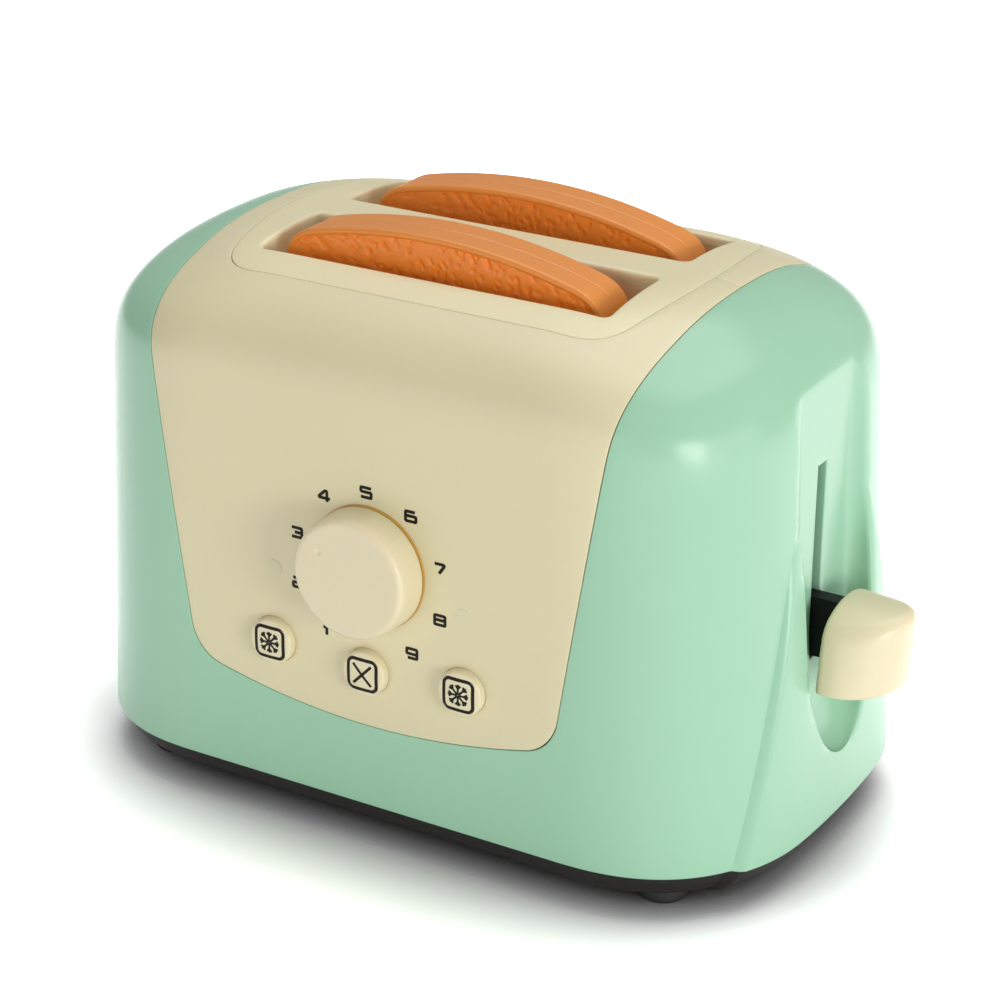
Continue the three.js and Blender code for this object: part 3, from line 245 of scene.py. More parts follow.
# The apron's crease, the finger scoop and the slot for the lever in the scoop's floor.
crease_foot, crease_crown, crease_height, crease_run, crease_step = 37.3, 18.4, 69.5, 1.8, 2.1
scoop_floor, scoop_mouth, scoop_half, scoop_corner = 81.0, 90.0, 17.0, 4.0
scoop_low, scoop_bend, scoop_soft, scoop_ease = 24.7, 56.0, 0.8, 0.7
slot_half, slot_low, slot_high = 2.5, 45.4, 91.6


def shoulder(h, drop, draw):
    """How far the shoulder draws in at height h: draw (1 - (1 - c^n)^(1/n)), with c the share of
    the drop that is climbed and n the shoulder_power."""
    climb = np.clip((h - tall + drop) / drop, 0, 1)
    return draw * (1 - (1 - climb**shoulder_power) ** (1 / shoulder_power))


def crease_at(h):
    """Half width of the apron at height h, on a straight line from its foot to its crown."""
    return crease_foot + (crease_crown - crease_foot) * np.clip(h / crease_height, 0, 1)


def body_gap(p):
    """How far p lies outside the moulded form, negative inside: r ((a^n + b^n)^(1/n) - 1) in plan,
    with n the plan_power, and a and b the shares of the corner reached along x and y once the bow
    of the ends, (bow / length) (y / depth)^2 of x, and the apron's step are taken off. The step
    fades up the apron as (1 - h^4)^0.75 and stands up over the crease as 1 - (1 - t)^2.3."""
    x, y, z = np.abs(p[..., 0]), np.abs(p[..., 1]), p[..., 2]
    h = np.clip(z - edge, 0, tall)
    lever = p[..., 0] > 0
    lean = np.where(lever, lever_reach - lever_lean * h / tall, plain_reach - plain_lean * h / tall)
    length = lean - shoulder(h, end_drop, end_draw)
    depth = front_reach - front_lean * h / tall - shoulder(h, front_drop, front_draw)
    r = np.minimum(plan_corner, 0.95 * np.minimum(length, depth))
    fall = np.clip((crease_at(h) + crease_run - y) / crease_run, 0, 1)
    rise = (1 - np.clip(h / crease_height, 0, 1) ** 4) ** 0.75
    step = np.where(lever, crease_step * rise * (1 - (1 - fall) ** 2.3), 0)
    u = x / (1 - end_bow / length * np.clip(y / depth, 0, 1.15) ** 2) - step
    a = np.maximum(u - length + r, 0) / r
    b = np.maximum(y - depth + r, 0) / r
    n = plan_power
    round_side = r * ((a**n + b**n) ** (1 / n) - 1)
    side = np.where(a + b > 0, round_side, np.maximum(u - length, y - depth))
    return np.maximum(side, z - top)


def halved(low, high, below, times=40):
    """The values between low and high up to which below is true, found by halving the span."""
    for _ in range(times):
        half = (low + high) / 2
        under = below(half)
        low, high = np.where(under, half, low), np.where(under, high, half)
    return low


def march(start, direction, reach=130.0, gap=body_gap):
    """Points where rays from inside leave the form: start + t direction, with gap = 0 there."""
    zero = np.zeros(len(start))
    far = halved(zero, zero + reach, lambda t: gap(start + direction * t[:, None]) < 0, 42)
    return start + direction * far[:, None]


# The shell is laid out flat: along runs round the body from the middle of the back, over
# parallel rays on the flats and a fan at each corner, and up is the angle of the ray. All rays
# start at the height eye.
flat_x, flat_y, fan, eye = 49.6, 18.0, 38.0, 60.0
quarter = flat_y + fan * pi / 2 + flat_x


def unrolled(p):
    """Flat places (along, up) of surface points: along adds up y on the ends, the arc on the fans
    and x on the front and back, and up is eye times the ray's angle above the level."""
    x, y = np.abs(p[:, 0]), np.abs(p[:, 1])
    turned = np.arctan2(np.maximum(y - flat_y, 0), np.maximum(x - flat_x, 1e-9))
    on_end, on_front = y <= flat_y, x <= flat_x
    local = np.where(on_end, y, np.where(on_front, flat_y + fan * pi / 2 + flat_x - x, flat_y + fan * turned))
    away = np.where(on_end, x - flat_x, np.where(on_front, y - flat_y, np.hypot(x - flat_x, y - flat_y)))
    sign = np.where(p[:, 0] > 0, np.where(p[:, 1] > 0, -1, 1), np.where(p[:, 1] < 0, -1, 1))
    base = np.where(p[:, 0] > 0, quarter, 3 * quarter)
    return np.stack([base + sign * local, eye * np.arctan2(p[:, 2] - eye, away)], 1)


def rolled(q, gap=body_gap):
    """Surface points of flat places (along, up): where the rays that unrolled describes leave the
    form."""
    part = np.clip(q[:, 0], 0, 4 * quarter)
    lever = part < 2 * quarter
    local = part - np.where(lever, quarter, 3 * quarter)
    sx = np.where(lever, 1.0, -1.0)
    sy = np.where(lever, np.where(local < 0, 1.0, -1.0), np.where(local < 0, -1.0, 1.0))
    local = np.abs(local)
    turned = np.clip((local - flat_y) / fan, 0, pi / 2)
    x0 = np.where(local > flat_y + fan * pi / 2, flat_x - (local - flat_y - fan * pi / 2), flat_x)
    y0 = np.minimum(local, flat_y)
    lift = q[:, 1] / eye
    start = np.stack([sx * x0, sy * y0, np.full(len(q), eye)], 1)
    ray = np.stack([sx * np.cos(turned) * np.cos(lift), sy * np.sin(turned) * np.cos(lift), np.sin(lift)], 1)
    return march(start, ray, gap=gap)


def run_along(line):
    """The length run along a line up to each of its points."""
    return np.concatenate([[0], np.cumsum(np.linalg.norm(np.diff(line, axis=0), axis=1))])


def in_steps(line, count):
    """The line with points that cut its length into count equal steps."""
    run = run_along(line)
    wanted = np.linspace(0, run[-1], count + 1)
    return np.stack([np.interp(wanted, run, line[:, k]) for k in range(line.shape[1])], 1)


def even(line, step):
    """The line with points at even spacing of about step."""
    return in_steps(line, max(int(round(run_along(line)[-1] / step)), 2))


def bent(a, b, c, t):
    """Points of a curve from a to c drawn towards b: (1 - t)^2 a + 2 t (1 - t) b + t^2 c."""
    t = t[:, None]
    return (1 - t) ** 2 * np.array(a) + 2 * t * (1 - t) * np.array(b) + t**2 * np.array(c)


window_foot, window_half, window_corner, window_sag, window_lean = 36.8, 46.8, 6.0, 6.6, 0.1505


def window_line(grow, step=1.3):
    """Right half of the window's outline on the surface, grown outwards by grow, as 3-D points:
    from the middle of the sagging foot in front, round the corner and up the side to the top at
    y = 0. The side leans, x = half + lean (z - foot)."""
    foot, half, corner = window_foot - grow, window_half + grow, window_corner
    turn_in = (half - corner, foot - corner / 4)
    turn_out = (half + window_lean * corner, foot + corner)
    sag = (0, foot - 2 * window_sag + corner / 4)
    low = bent((-turn_in[0], turn_in[1]), sag, turn_in, np.linspace(0.5, 1, 60))
    bend = bent(turn_in, (half - corner / 6, foot), turn_out, np.linspace(0, 1, 12)[1:])
    flat = np.concatenate([low, bend])
    start = np.stack([flat[:, 0], np.zeros(len(flat)), flat[:, 1]], 1)
    line = march(start, np.tile([0.0, -1.0, 0.0], (len(flat), 1)))
    first = np.arctan2(line[-1, 2] - eye, -line[-1, 1])
    angle = np.linspace(first, pi / 2, 160)[1:]
    x = np.full(len(angle), half)
    for _ in range(12):
        start = np.stack([x, np.zeros(len(angle)), np.full(len(angle), eye)], 1)
        side = march(start, np.stack([0 * angle, -np.cos(angle), np.sin(angle)], 1))
        x = half + window_lean * (side[:, 2] - foot)
    return even(np.concatenate([line, side]), step)


def within(q, loop):
    """True for the flat points inside the closed loop, by counting crossings."""
    inside = np.zeros(len(q), bool)
    for a, b in zip(loop, np.roll(loop, -1, axis=0)):
        if a[1] == b[1]:
            continue
        crossed = (a[1] > q[:, 1]) != (b[1] > q[:, 1])
        x = a[0] + (q[:, 1] - a[1]) * (b[0] - a[0]) / (b[1] - a[1])
        inside ^= crossed & (q[:, 0] < x)
    return inside


def in_region(q, border, holes):
    """True for the flat points inside the border and outside every hole."""
    inside = within(q, border)
    for hole in holes:
        inside &= ~within(q, hole)
    return inside


def distance(q, line, closed=False):
    """Distance of the flat points from a line, on its points and between them."""
    ends = np.roll(line, -1, axis=0) if closed else line[1:]
    starts = line if closed else line[:-1]
    best = np.full(len(q), 1e9)
    for a, b in zip(starts, ends):
        along = b - a
        t = np.clip(((q - a) @ along) / max(along @ along, 1e-12), 0, 1)
        best = np.minimum(best, np.linalg.norm(q - a - t[:, None] * along, axis=1))
    return best


def clear_of(q, loops, room):
    """The flat points that keep more than room from every closed loop."""
    for loop in loops:
        q = q[distance(q, loop, closed=True) > room]
    return q


def mesh_flat(border, holes, free, lines=()):
    """Delaunay triangles over the flat region inside border and outside the holes, through the
    free points, all turning anticlockwise. The border and holes are closed loops and the lines
    open ones, and each of their sides stays a side of the mesh."""
    points, sides, start = [], [], 0
    for loop in [border, *holes]:
        sides += [(start + k, start + (k + 1) % len(loop)) for k in range(len(loop))]
        points.append(loop)
        start += len(loop)
    for line in lines:
        sides += [(start + k, start + k + 1) for k in range(len(line) - 1)]
        points.append(line)
        start += len(line)
    flat = np.concatenate([*points, free[in_region(free, border, holes)]])
    verts, _, faces, _, _, _ = delaunay_2d_cdt([Vector(p) for p in flat], sides, [], 0, 1e-6)
    verts = np.array([tuple(v) for v in verts])
    faces = np.array([tuple(f) for f in faces])
    faces = faces[in_region(verts[faces].mean(1), border, holes)]
    a, b, c = (verts[faces[:, k]] for k in range(3))
    area = (b[:, 0] - a[:, 0]) * (c[:, 1] - a[:, 1]) - (b[:, 1] - a[:, 1]) * (c[:, 0] - a[:, 0])
    faces[area < 0] = faces[area < 0][:, ::-1]
    return verts, faces[np.abs(area) > 1e-9]


def spread(low, high, pitch):
    """A flat field of points at the given pitch, every other row shifted by half a step."""
    along = np.arange(low[0], high[0], pitch)
    up = np.arange(low[1], high[1], pitch * 0.87)
    a, u = np.meshgrid(along, up)
    a = a + (np.arange(len(up)) % 2)[:, None] * pitch / 2
    return np.stack([a.ravel(), u.ravel()], 1)


def normals_of(points, faces):
    """Unit normals of the points, each the sum of its faces' area normals."""
    a, b, c = (points[faces[:, k]] for k in range(3))
    normal = np.zeros_like(points)
    for k in range(3):
        np.add.at(normal, faces[:, k], np.cross(b - a, c - a))
    return normal / np.maximum(np.linalg.norm(normal, axis=1), 1e-12)[:, None]


def border_loops(faces):
    """The open borders of a triangle mesh, each as its points in order, with the mesh on their left."""
    sides = np.concatenate([faces[:, [0, 1]], faces[:, [1, 2]], faces[:, [2, 0]]])
    known = {(a, b) for a, b in sides.tolist()}
    follow = {a: b for a, b in known if (b, a) not in known}
    loops = []
    while follow:
        start, current = follow.popitem()
        loop = [start]
        while current != start:
            loop.append(current)
            current = follow.pop(current)
        loops.append(loop)
    return loops


def between(last, here):
    """Two triangles for each step between two rings of points, given by their numbers."""
    after, beyond = np.roll(last, -1), np.roll(here, -1)
    return np.concatenate([np.stack([after, last, here], 1), np.stack([after, here, beyond], 1)])


def thickened(points, faces, deep, lip_at, rows=3):
    """Closes an open skin into a wall: the inner skin is p - deep n, and each border turns over in
    a quarter round, p + r (outward sin t - n (1 - cos t)), whose radius r lip_at gives from the
    border's middle. Also returns the last row of each round."""
    normal = normals_of(points, faces)
    count = len(points)
    inner = points - normal * deep
    more, sides, ends = [], [], []
    used = 2 * count
    for loop in border_loops(faces):
        p, n = points[loop], normal[loop]
        along = np.roll(p, -1, axis=0) - np.roll(p, 1, axis=0)
        outward = np.cross(along, n)
        outward /= np.linalg.norm(outward, axis=1)[:, None]
        radius = lip_at(p.mean(0))
        last = np.array(loop)
        for k in range(1, rows + 1):
            angle = (pi / 2) * k / rows
            more.append(p + outward * radius * sin(angle) - n * radius * (1 - cos(angle)))
            here = np.arange(used, used + len(loop))
            used += len(loop)
            sides.append(between(last, here))
            last = here
        inner[loop] = p + outward * radius - n * deep
        sides.append(between(last, np.array(loop) + count))
        ends.append(inner[loop])
    verts = np.concatenate([points, inner, *more])
    return verts, np.concatenate([faces, faces[:, ::-1] + count, *sides]), ends


def grid_faces(rows, columns, closed=False):
    """Two triangles for each cell of a grid of points numbered row by row."""
    i, j = np.meshgrid(np.arange(rows - 1), np.arange(columns if closed else columns - 1), indexing="ij")
    a = (i * columns + j).ravel()
    b = (i * columns + (j + 1) % columns).ravel()
    return np.concatenate([np.stack([a, b, b + columns], 1), np.stack([a, b + columns, a + columns], 1)])


def scoop_section(z):
    """Half width, floor x and corner radius of the scoop at height z. Below the bend the width
    closes in and the floor comes out on a quarter ellipse, by the share sqrt(1 - t^2)."""
    lower = np.clip(1 - (z - scoop_low) / (scoop_bend - scoop_low), 0, 1)
    share = np.sqrt(np.clip(1 - lower**2, 0, 1))
    half = scoop_half * share
    return half, scoop_floor + (scoop_mouth - scoop_floor) * (1 - share), np.minimum(scoop_corner, half / 2)


def scoop_gap(p):
    """How far p lies inside the scoop's hollow, negative in the plastic: the depth inside a
    rectangle with rounded floor corners, in the level section through p."""
    half, floor_x, corner = scoop_section(p[..., 2])
    dy = np.abs(p[..., 1]) - (half - corner)
    dx = floor_x + corner - p[..., 0]
    reach = np.hypot(np.maximum(dy, 0), np.maximum(dx, 0)) + np.minimum(np.maximum(dy, dx), 0) - corner
    return np.where(p[..., 2] > scoop_low, -reach, -5.0)


def softly(a, b, k):
    """The larger of a and b, rounded over k where they meet: max(a, b) + (k - |a - b|)^2 / 4k."""
    near = np.maximum(k - np.abs(a - b), 0)
    return np.maximum(a, b) + near**2 / (4 * k)


def shell_gap(p):
    """The body less the scoop, their meeting edge rounded more towards the far rim."""
    return softly(body_gap(p), scoop_gap(p),
                  scoop_soft + scoop_ease * np.clip(p[..., 1] / scoop_half, 0, 1))


def settled(p, gap, steps=4):
    """Points moved onto the surface gap = 0 along its slope, by gap / |slope| in each step and by
    0.6 mm at most. The slope is measured over h to both sides."""
    h = 0.02
    for _ in range(steps):
        value = gap(p)
        slope = np.stack([gap(p + h * axis) - gap(p - h * axis) for axis in np.eye(3)], -1) / (2 * h)
        move = value[:, None] * slope / np.maximum((slope**2).sum(1), 0.05)[:, None]
        length = np.linalg.norm(move, axis=1)[:, None]
        p = p - move * np.minimum(1, 0.6 / np.maximum(length, 1e-9))
    return p


def end_surface(y, z):
    """Points of the lever end, without the scoop, at the given y and z."""
    start = np.stack([np.full(len(y), flat_x), y, z], 1)
    return march(start, np.tile([1.0, 0.0, 0.0], (len(y), 1)), reach=60)


def scoop_top(y):
    """Heights at which the shoulder comes down to the scoop's floor, over the given y."""
    return halved(np.full(len(y), 100.0), np.full(len(y), 120.0),
                  lambda z: end_surface(y, z)[:, 0] > scoop_floor)


def scoop_skin():
    """The hollow as a grid: rows from the foot's tip up to where the floor meets the shoulder, and
    each row a section along the floor, round the corner and straight out to the rim, to both
    sides. Returns the points, the faces and the rim as a closed line from the tip."""
    arc = np.radians(np.linspace(0, 90, 25))[1:]
    foot_rows = scoop_low + (scoop_bend - scoop_low) * (1 - np.cos(arc))
    last = scoop_top(np.array([scoop_half - scoop_corner + 0.6]))[0]
    upper = [np.linspace(scoop_bend, slot_high, 32)[1:], np.linspace(slot_high, last, 20)[1:]]
    rows = np.concatenate([foot_rows, *upper])
    rows[np.argmin(np.abs(rows - slot_low))] = slot_low
    half, floor_x, corner = scoop_section(rows)
    flat = half - corner

    def in_corner(angle):
        """True where the corner, followed round to the angle, is still inside the end."""
        surface = end_surface(flat + corner * np.sin(angle), rows)[:, 0]
        return floor_x + corner * (1 - np.cos(angle)) < surface

    bend = halved(np.zeros(len(rows)), np.full(len(rows), pi / 2), in_corner)
    rise = np.maximum(end_surface(half, rows)[:, 0] - floor_x - corner, 0) * (bend > pi / 2 - 1e-6)
    total = (flat + corner * bend + rise)[:, None]
    share = np.concatenate([
        np.linspace(0, 1, 16)[:-1] * 0.9,
        1 - 0.1 * (1 - np.linspace(0, 1, 7)) ** 1.4,
    ])
    inner = np.minimum(slot_half, 0.3 * total)
    run = np.concatenate([0 * inner, inner / 2, inner + (total - inner) * share], 1)
    floor_run, radius, most = flat[:, None], corner[:, None], bend[:, None]
    past = np.clip((run - floor_run) / radius, 0, most)
    up = np.maximum(run - floor_run - radius * most, 0)
    y = np.minimum(run, floor_run) + radius * np.sin(past)
    x = floor_x[:, None] + radius * (1 - np.cos(past)) + up
    z = np.repeat(rows[:, None], run.shape[1], 1)
    sheet = np.stack([
        np.concatenate([x[:, ::-1], x[:, 1:]], 1),
        np.concatenate([-y[:, ::-1], y[:, 1:]], 1),
        np.concatenate([z, z[:, 1:]], 1),
    ], 2)
    closing = sheet[-1].copy()
    closing[:, 0] = scoop_floor
    closing[:, 2] = scoop_top(closing[:, 1])
    sheet = np.concatenate([sheet, closing[None]])
    columns = sheet.shape[1]
    tip = end_surface(np.zeros(1), np.array([scoop_low + 0.01]))
    points = np.concatenate([sheet.reshape(-1, 3), tip])
    faces = grid_faces(len(sheet), columns)
    first = np.arange(columns)
    fan_faces = np.stack([np.full(columns - 1, len(points) - 1), first[1:], first[:-1]], 1)
    across = np.abs(points[faces][:, :, 1]).max(1) < slot_half + 1e-3
    height = points[faces][:, :, 2]
    slot = across & (height.min(1) > slot_low - 1e-3) & (height.max(1) < slot_high + 1e-3)
    rim = np.concatenate([tip, sheet[:, -1], sheet[-1, ::-1][1:], sheet[::-1, 0][1:]])
    return points, np.concatenate([faces[~slot], fan_faces]), rim


def welded(points, faces, near=0.02):
    """Points closer than near joined into one, without the triangles that then have no area."""
    mesh = bpy.data.meshes.new("weld")
    mesh.from_pydata(points.tolist(), [], faces.tolist())
    mesh.validate()
    form = bmesh.new()
    form.from_mesh(mesh)
    bmesh.ops.remove_doubles(form, verts=form.verts, dist=near)
    bmesh.ops.dissolve_degenerate(form, edges=form.edges, dist=1e-5)
    bmesh.ops.triangulate(form, faces=form.faces)
    loose = [v for v in form.verts if not v.link_faces]
    bmesh.ops.delete(form, geom=loose, context="VERTS")
    form.to_mesh(mesh)
    form.free()
    joined = np.empty(3 * len(mesh.vertices), np.float32)
    corners = np.empty(len(mesh.loops), np.int32)
    mesh.vertices.foreach_get("co", joined)
    mesh.loops.foreach_get("vertex_index", corners)
    bpy.data.meshes.remove(mesh)
    return joined.reshape(-1, 3).astype(float), corners.reshape(-1, 3)


# The shell's flat border: the window's outline on all four quarters above, the level foot below,
# and between them the cut down the middle of the back, which the weld closes again.
shell_lip, window_set, window_gap = 0.14, -0.45, 0.13
window_right = window_line(window_set + window_gap + shell_lip)
front_side = window_right[::-1]
window_loop = np.concatenate([
    window_right * [1, -1, 1],
    front_side[1:],
    (window_right * [-1, 1, 1])[1:],
    (front_side * [-1, -1, 1])[1:],
])
upper = unrolled(window_loop)
upper[0, 0], upper[-1, 0] = 0, 4 * quarter
along = np.linspace(0, 4 * quarter, 400)


def lower_edge(along, height):
    """Flat places on the level line at the given height."""
    up = halved(np.full(len(along), -eye * 1.2), np.zeros(len(along)),
                lambda half: rolled(np.stack([along, half], 1))[:, 2] < height, 30)
    return np.stack([along, up], 1)


shell_foot = 0.45
lower = lower_edge(along, edge + shell_foot)
cut_up = np.linspace(lower[0, 1], upper[0, 1], 12)[1:-1]
border = np.concatenate([
    lower,
    np.stack([np.full(len(cut_up), 4 * quarter), cut_up], 1),
    upper[::-1],
    np.stack([np.zeros(len(cut_up)), cut_up[::-1]], 1),
])
scoop_points, scoop_faces, rim = scoop_skin()
rim_flat = unrolled(rim)
# Rows of points run along both creases, closest where the step bends, and two round the rim.
crease_offsets = [-1.5, -0.8, -0.3, 0.0, 0.3, 0.6, 0.85, 1.1, 1.3, 1.5, 1.65, 1.8, 1.95, 2.3]
crease_z = np.concatenate([np.arange(edge + 0.9, 70, 1.2), np.arange(70, 80.4, 0.5)])
crease_rows = []
for offset in crease_offsets:
    for side in [-1, 1]:
        row = unrolled(end_surface(side * (crease_at(crease_z - edge) + offset), crease_z))
        clear = distance(row, rim_flat, closed=True) > 0.55
        row = row[: len(row) if clear.all() else int(np.argmin(clear))]
        crease_rows.append(row[distance(row, border, closed=True) > 0.25])
direction = np.roll(rim_flat, -1, axis=0) - np.roll(rim_flat, 1, axis=0)
direction /= np.maximum(np.linalg.norm(direction, axis=1), 1e-9)[:, None]
aside = np.stack([direction[:, 1], -direction[:, 0]], 1)
around_rim = np.concatenate([rim_flat + offset * aside for offset in [0.3, 0.75]])
crease_points = np.concatenate(crease_rows)[::3]
off_crease = np.min([np.abs(around_rim - c).sum(1) for c in crease_points], axis=0) > 0.5
field = spread((0.9, -70), (4 * quarter - 0.9, 90), 1.75)
field = clear_of(clear_of(field, [border], 0.9), [rim_flat], 1.3)
for side in [-1, 1]:
    line = unrolled(end_surface(side * (crease_at(crease_z - edge) + 0.4), crease_z))
    field = field[distance(field, line) > 2.6]
free = np.concatenate([around_rim[off_crease], field])
flat, flat_faces = mesh_flat(border, [rim_flat], free, crease_rows)
skin = rolled(flat)
points, faces = welded(np.concatenate([skin, scoop_points]),
                       np.concatenate([flat_faces[:, ::-1], scoop_faces + len(skin)]))
# Only the points near the scoop move onto the form with the rounded edge.
zone_x, zone_y, lever_slot_lip = 74, 21, 0.35
near_scoop = (points[:, 0] > zone_x) & (np.abs(points[:, 1]) < zone_y)
points[near_scoop] = settled(points[near_scoop], shell_gap)


def shell_border(centre):
    """Radius of the turned border: fine round the window, wider at the foot, soft at the lever slot."""
    if centre[2] < edge + 10:
        return shell_foot
    return lever_slot_lip if centre[0] > scoop_floor - 10 else shell_lip


verts, faces, _ = thickened(points, faces, wall, shell_border)
shell = add_mesh("shell", placed(verts), faces, "housing")
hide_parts("body_shell")
paint(shell, moulded("mint", (0.345, 0.615, 0.425), 0.25, mottle=0.015, bump=0.01, specular=0.36))


# Front and back panels: cream plastic mouldings set into the shell's window and parted across
# the top beside the bezel. Each is laid out flat as x against the angle of a ray, and the front
# one has the holes for the three buttons and the timer's arbor.
panel_lip, bezel_gap = 0.12, 0.08
parting = 0.05 + panel_lip
button_x, button_z, middle_button_z, button_hole = 24.5, 45.7, 44.1, 5.52
knob_x, knob_z, timer_hole = 0.4, 69.1, 2.5


def panel_places(p):
    """Flat place (x, up) of points on the front half."""
    return np.stack([p[:, 0], eye * np.arctan2(p[:, 2] - eye, -p[:, 1])], 1)


def panel_points(q):
    """Points of the front half at flat places (x, up): rays from the height eye, up / eye steep."""
    lift = q[:, 1] / eye
    start = np.stack([q[:, 0], 0 * lift, np.full(len(q), eye)], 1)
    return march(start, np.stack([0 * lift, -np.cos(lift), np.sin(lift)], 1))


def crown_points(xy):
    """Points of the upper surface over the given x and y."""
    start = np.stack([xy[:, 0], xy[:, 1], np.full(len(xy), eye)], 1)
    return march(start, np.tile([0.0, 0.0, 1.0], (len(xy), 1)), reach=90)


def front_points(xz):
    """Points of the front face at the given x and z."""
    start = np.stack([xz[:, 0], np.zeros(len(xz)), xz[:, 1]], 1)
    return march(start, np.tile([0.0, -1.0, 0.0], (len(xz), 1)), reach=90)


def quadratic(a, b, c, count=14):
    """A curve from a to c drawn towards b, in count steps and without its first point."""
    return bent(a, b, c, np.linspace(0, 1, count + 1)[1:])


def bezel_line(grow, step=1.2):
    """The bezel's outline in x and y, grown outwards by grow: from its right end at y = 0 round the
    front to the left end at y = 0, with bowed ends and drawn-round corners."""
    length, depth, bow, corner = 53.5, 38.7, 5.6, 8.5
    end = length - bow
    start, far = end + corner / 4, 2 * length - end - corner / 4
    side = quadratic((start, corner - depth), (far, 0), (start, depth - corner), 60)
    half = side[side[:, 1] <= 0][::-1]
    line = even(np.concatenate([
        [[half[0, 0], 0.0]],
        half[half[:, 1] < -0.01],
        quadratic((start, corner - depth), (end, -depth), (end - corner, -depth)),
        [[0.0, -depth]],
    ]), step)
    line = np.concatenate([line, (line * [-1, 1])[::-1][1:]])
    along = np.gradient(line, axis=0)
    along[[0, -1]] = [[0, -1], [0, 1]]
    aside = np.stack([-along[:, 1], along[:, 0]], 1)
    return line + grow * aside / np.linalg.norm(along, axis=1)[:, None]


def ring(centre, radius, count=28):
    """A circle of flat points."""
    angle = np.linspace(0, 2 * pi, count, endpoint=False)
    return np.array(centre) + radius * np.stack([np.cos(angle), np.sin(angle)], 1)


def cut_at(line, y):
    """The part of a 3-D line that stays in front of y, ended exactly on it."""
    kept = line[line[:, 1] < y - 0.05]
    beyond = line[line[:, 1] >= y - 0.05][0]
    share = (y - kept[-1, 1]) / (beyond[1] - kept[-1, 1]) if beyond[1] != kept[-1, 1] else 0
    return np.concatenate([kept, [kept[-1] + share * (beyond - kept[-1])]])


def panel_skin(holes):
    """Points and faces of the front panel's skin with the given round holes (x, z, radius)."""
    side = panel_places(cut_at(window_line(window_set - panel_lip), -parting))
    line = bezel_line(bezel_gap + panel_lip)
    inner = crown_points(line[: len(line) // 2 + 1])
    inner = panel_places(cut_at(inner[::-1], -parting))
    top_line = even(np.array([side[-1], inner[-1]]), 1.3)[1:-1]
    half = np.concatenate([side, top_line, inner[::-1]])
    border = np.concatenate([half, (half * [-1, 1])[::-1][1:-1]])
    loops = [panel_places(front_points(ring((x, z), radius))) for x, z, radius in holes]
    field = clear_of(spread((-62, -40), (62, 100), 1.6), [border, *loops], 0.8)
    flat, faces = mesh_flat(border, loops, field)
    return panel_points(flat), faces


button_places = [(-button_x, button_z), (0, middle_button_z), (button_x, button_z)]
holes = [(x, z, button_hole + panel_lip) for x, z in button_places]
holes.append((knob_x, knob_z, timer_hole))
cream = moulded("cream", (0.75, 0.68, 0.435), 0.36, mottle=0.02, bump=0.03, scale=260.0,
                subsurface=0.15)
for name, node, side, pierced in [("front_face", "front_panel", 1, holes),
                                  ("back_face", "back_panel", -1, [])]:
    points, faces = panel_skin(pierced)
    verts, faces, _ = thickened(points * [1, side, 1], faces[:, ::side], wall,
                                lambda centre: panel_lip)
    panel = add_mesh(name, placed(verts), faces, "housing")
    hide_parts(node)
    paint(panel, cream)


# Slot bezel: a cream plastic moulding set in the top of the panels, with two softly rimmed slots
# whose chutes reach down inside. Its skin is one surface over x and y, and each chute is a ring
# below a slot.
bezel_lip, slot_lip, chute_wall, chute_low = 0.2, 1.0, 1.4, 97.5
slot_x, slot_near, slot_far, slot_corner = 43.8, 6.3, 29.9, 1.6


def round_cornered(low, high, radius, steps, first=0):
    """The closed outline of a rectangle from its low to its high corner, with a quarter circle at
    each corner, anticlockwise from the quarter that starts at the angle first, in degrees."""
    line = []
    for start in np.arange(first, first + 360, 90):
        angle = np.radians(start + np.linspace(0, 90, steps + 1))
        x = high[0] - radius if cos(radians(start + 45)) > 0 else low[0] + radius
        y = high[1] - radius if sin(radians(start + 45)) > 0 else low[1] + radius
        line.append(np.stack([x + radius * np.cos(angle), y + radius * np.sin(angle)], 1))
    return np.concatenate([*line, line[0][:1]])


def slot_line(side, grow):
    """The outline of a slot in x and y, grown outwards by grow, with points along its sides."""
    x, low, high, r = slot_x + grow, slot_near - grow, slot_far + grow, slot_corner + grow
    line = round_cornered((-x, low), (x, high), r, 5)
    parts = []
    for a, b in zip(line[:-1], line[1:]):
        count = max(int(np.linalg.norm(b - a) / 1.3), 1)
        parts.append(a + (b - a) * np.linspace(0, 1, count + 1)[:-1, None])
    line = np.concatenate(parts)
    return line if side > 0 else (line * [1, -1])[::-1]


def outwards(points, faces):
    """The faces of a closed form turned so that they point outwards, which makes its signed
    volume, the sum of a . (b x c) / 6, positive."""
    a, b, c = (points[faces[:, k]] for k in range(3))
    return faces if (a * np.cross(b, c)).sum() > 0 else faces[:, ::-1]


outline = bezel_line(-bezel_lip)
border = np.concatenate([outline, (outline * [1, -1])[::-1][1:-1]])[::-1]
slots = [slot_line(side, slot_lip) for side in (-1, 1)]
field = clear_of(spread((-54, -39), (54, 39), 1.5), [border, *slots], 0.75)
flat, faces = mesh_flat(border, slots, field)
verts, faces, ends = thickened(crown_points(flat), faces, wall,
                               lambda centre: bezel_lip if abs(centre[1]) < 5 else slot_lip, rows=5)
for row in ends:
    centre = np.array([0, row[:, 1].mean(), 0])
    if abs(centre[1]) < 5:
        continue
    low = row.copy()
    low[:, 2] = chute_low
    along = np.roll(row, -1, axis=0) - np.roll(row, 1, axis=0)
    away = np.stack([along[:, 1], -along[:, 0], 0 * along[:, 0]], 1)
    away /= np.maximum(np.linalg.norm(away, axis=1), 1e-9)[:, None]
    if (away * (row - centre)).sum() < 0:
        away = -away
    chute = np.stack([row, low, low + away * chute_wall, row + away * chute_wall]).reshape(-1, 3)
    around = grid_faces(5, len(row), closed=True) % len(chute)
    faces = np.concatenate([faces, outwards(chute, around) + len(verts)])
    verts = np.concatenate([verts, chute])
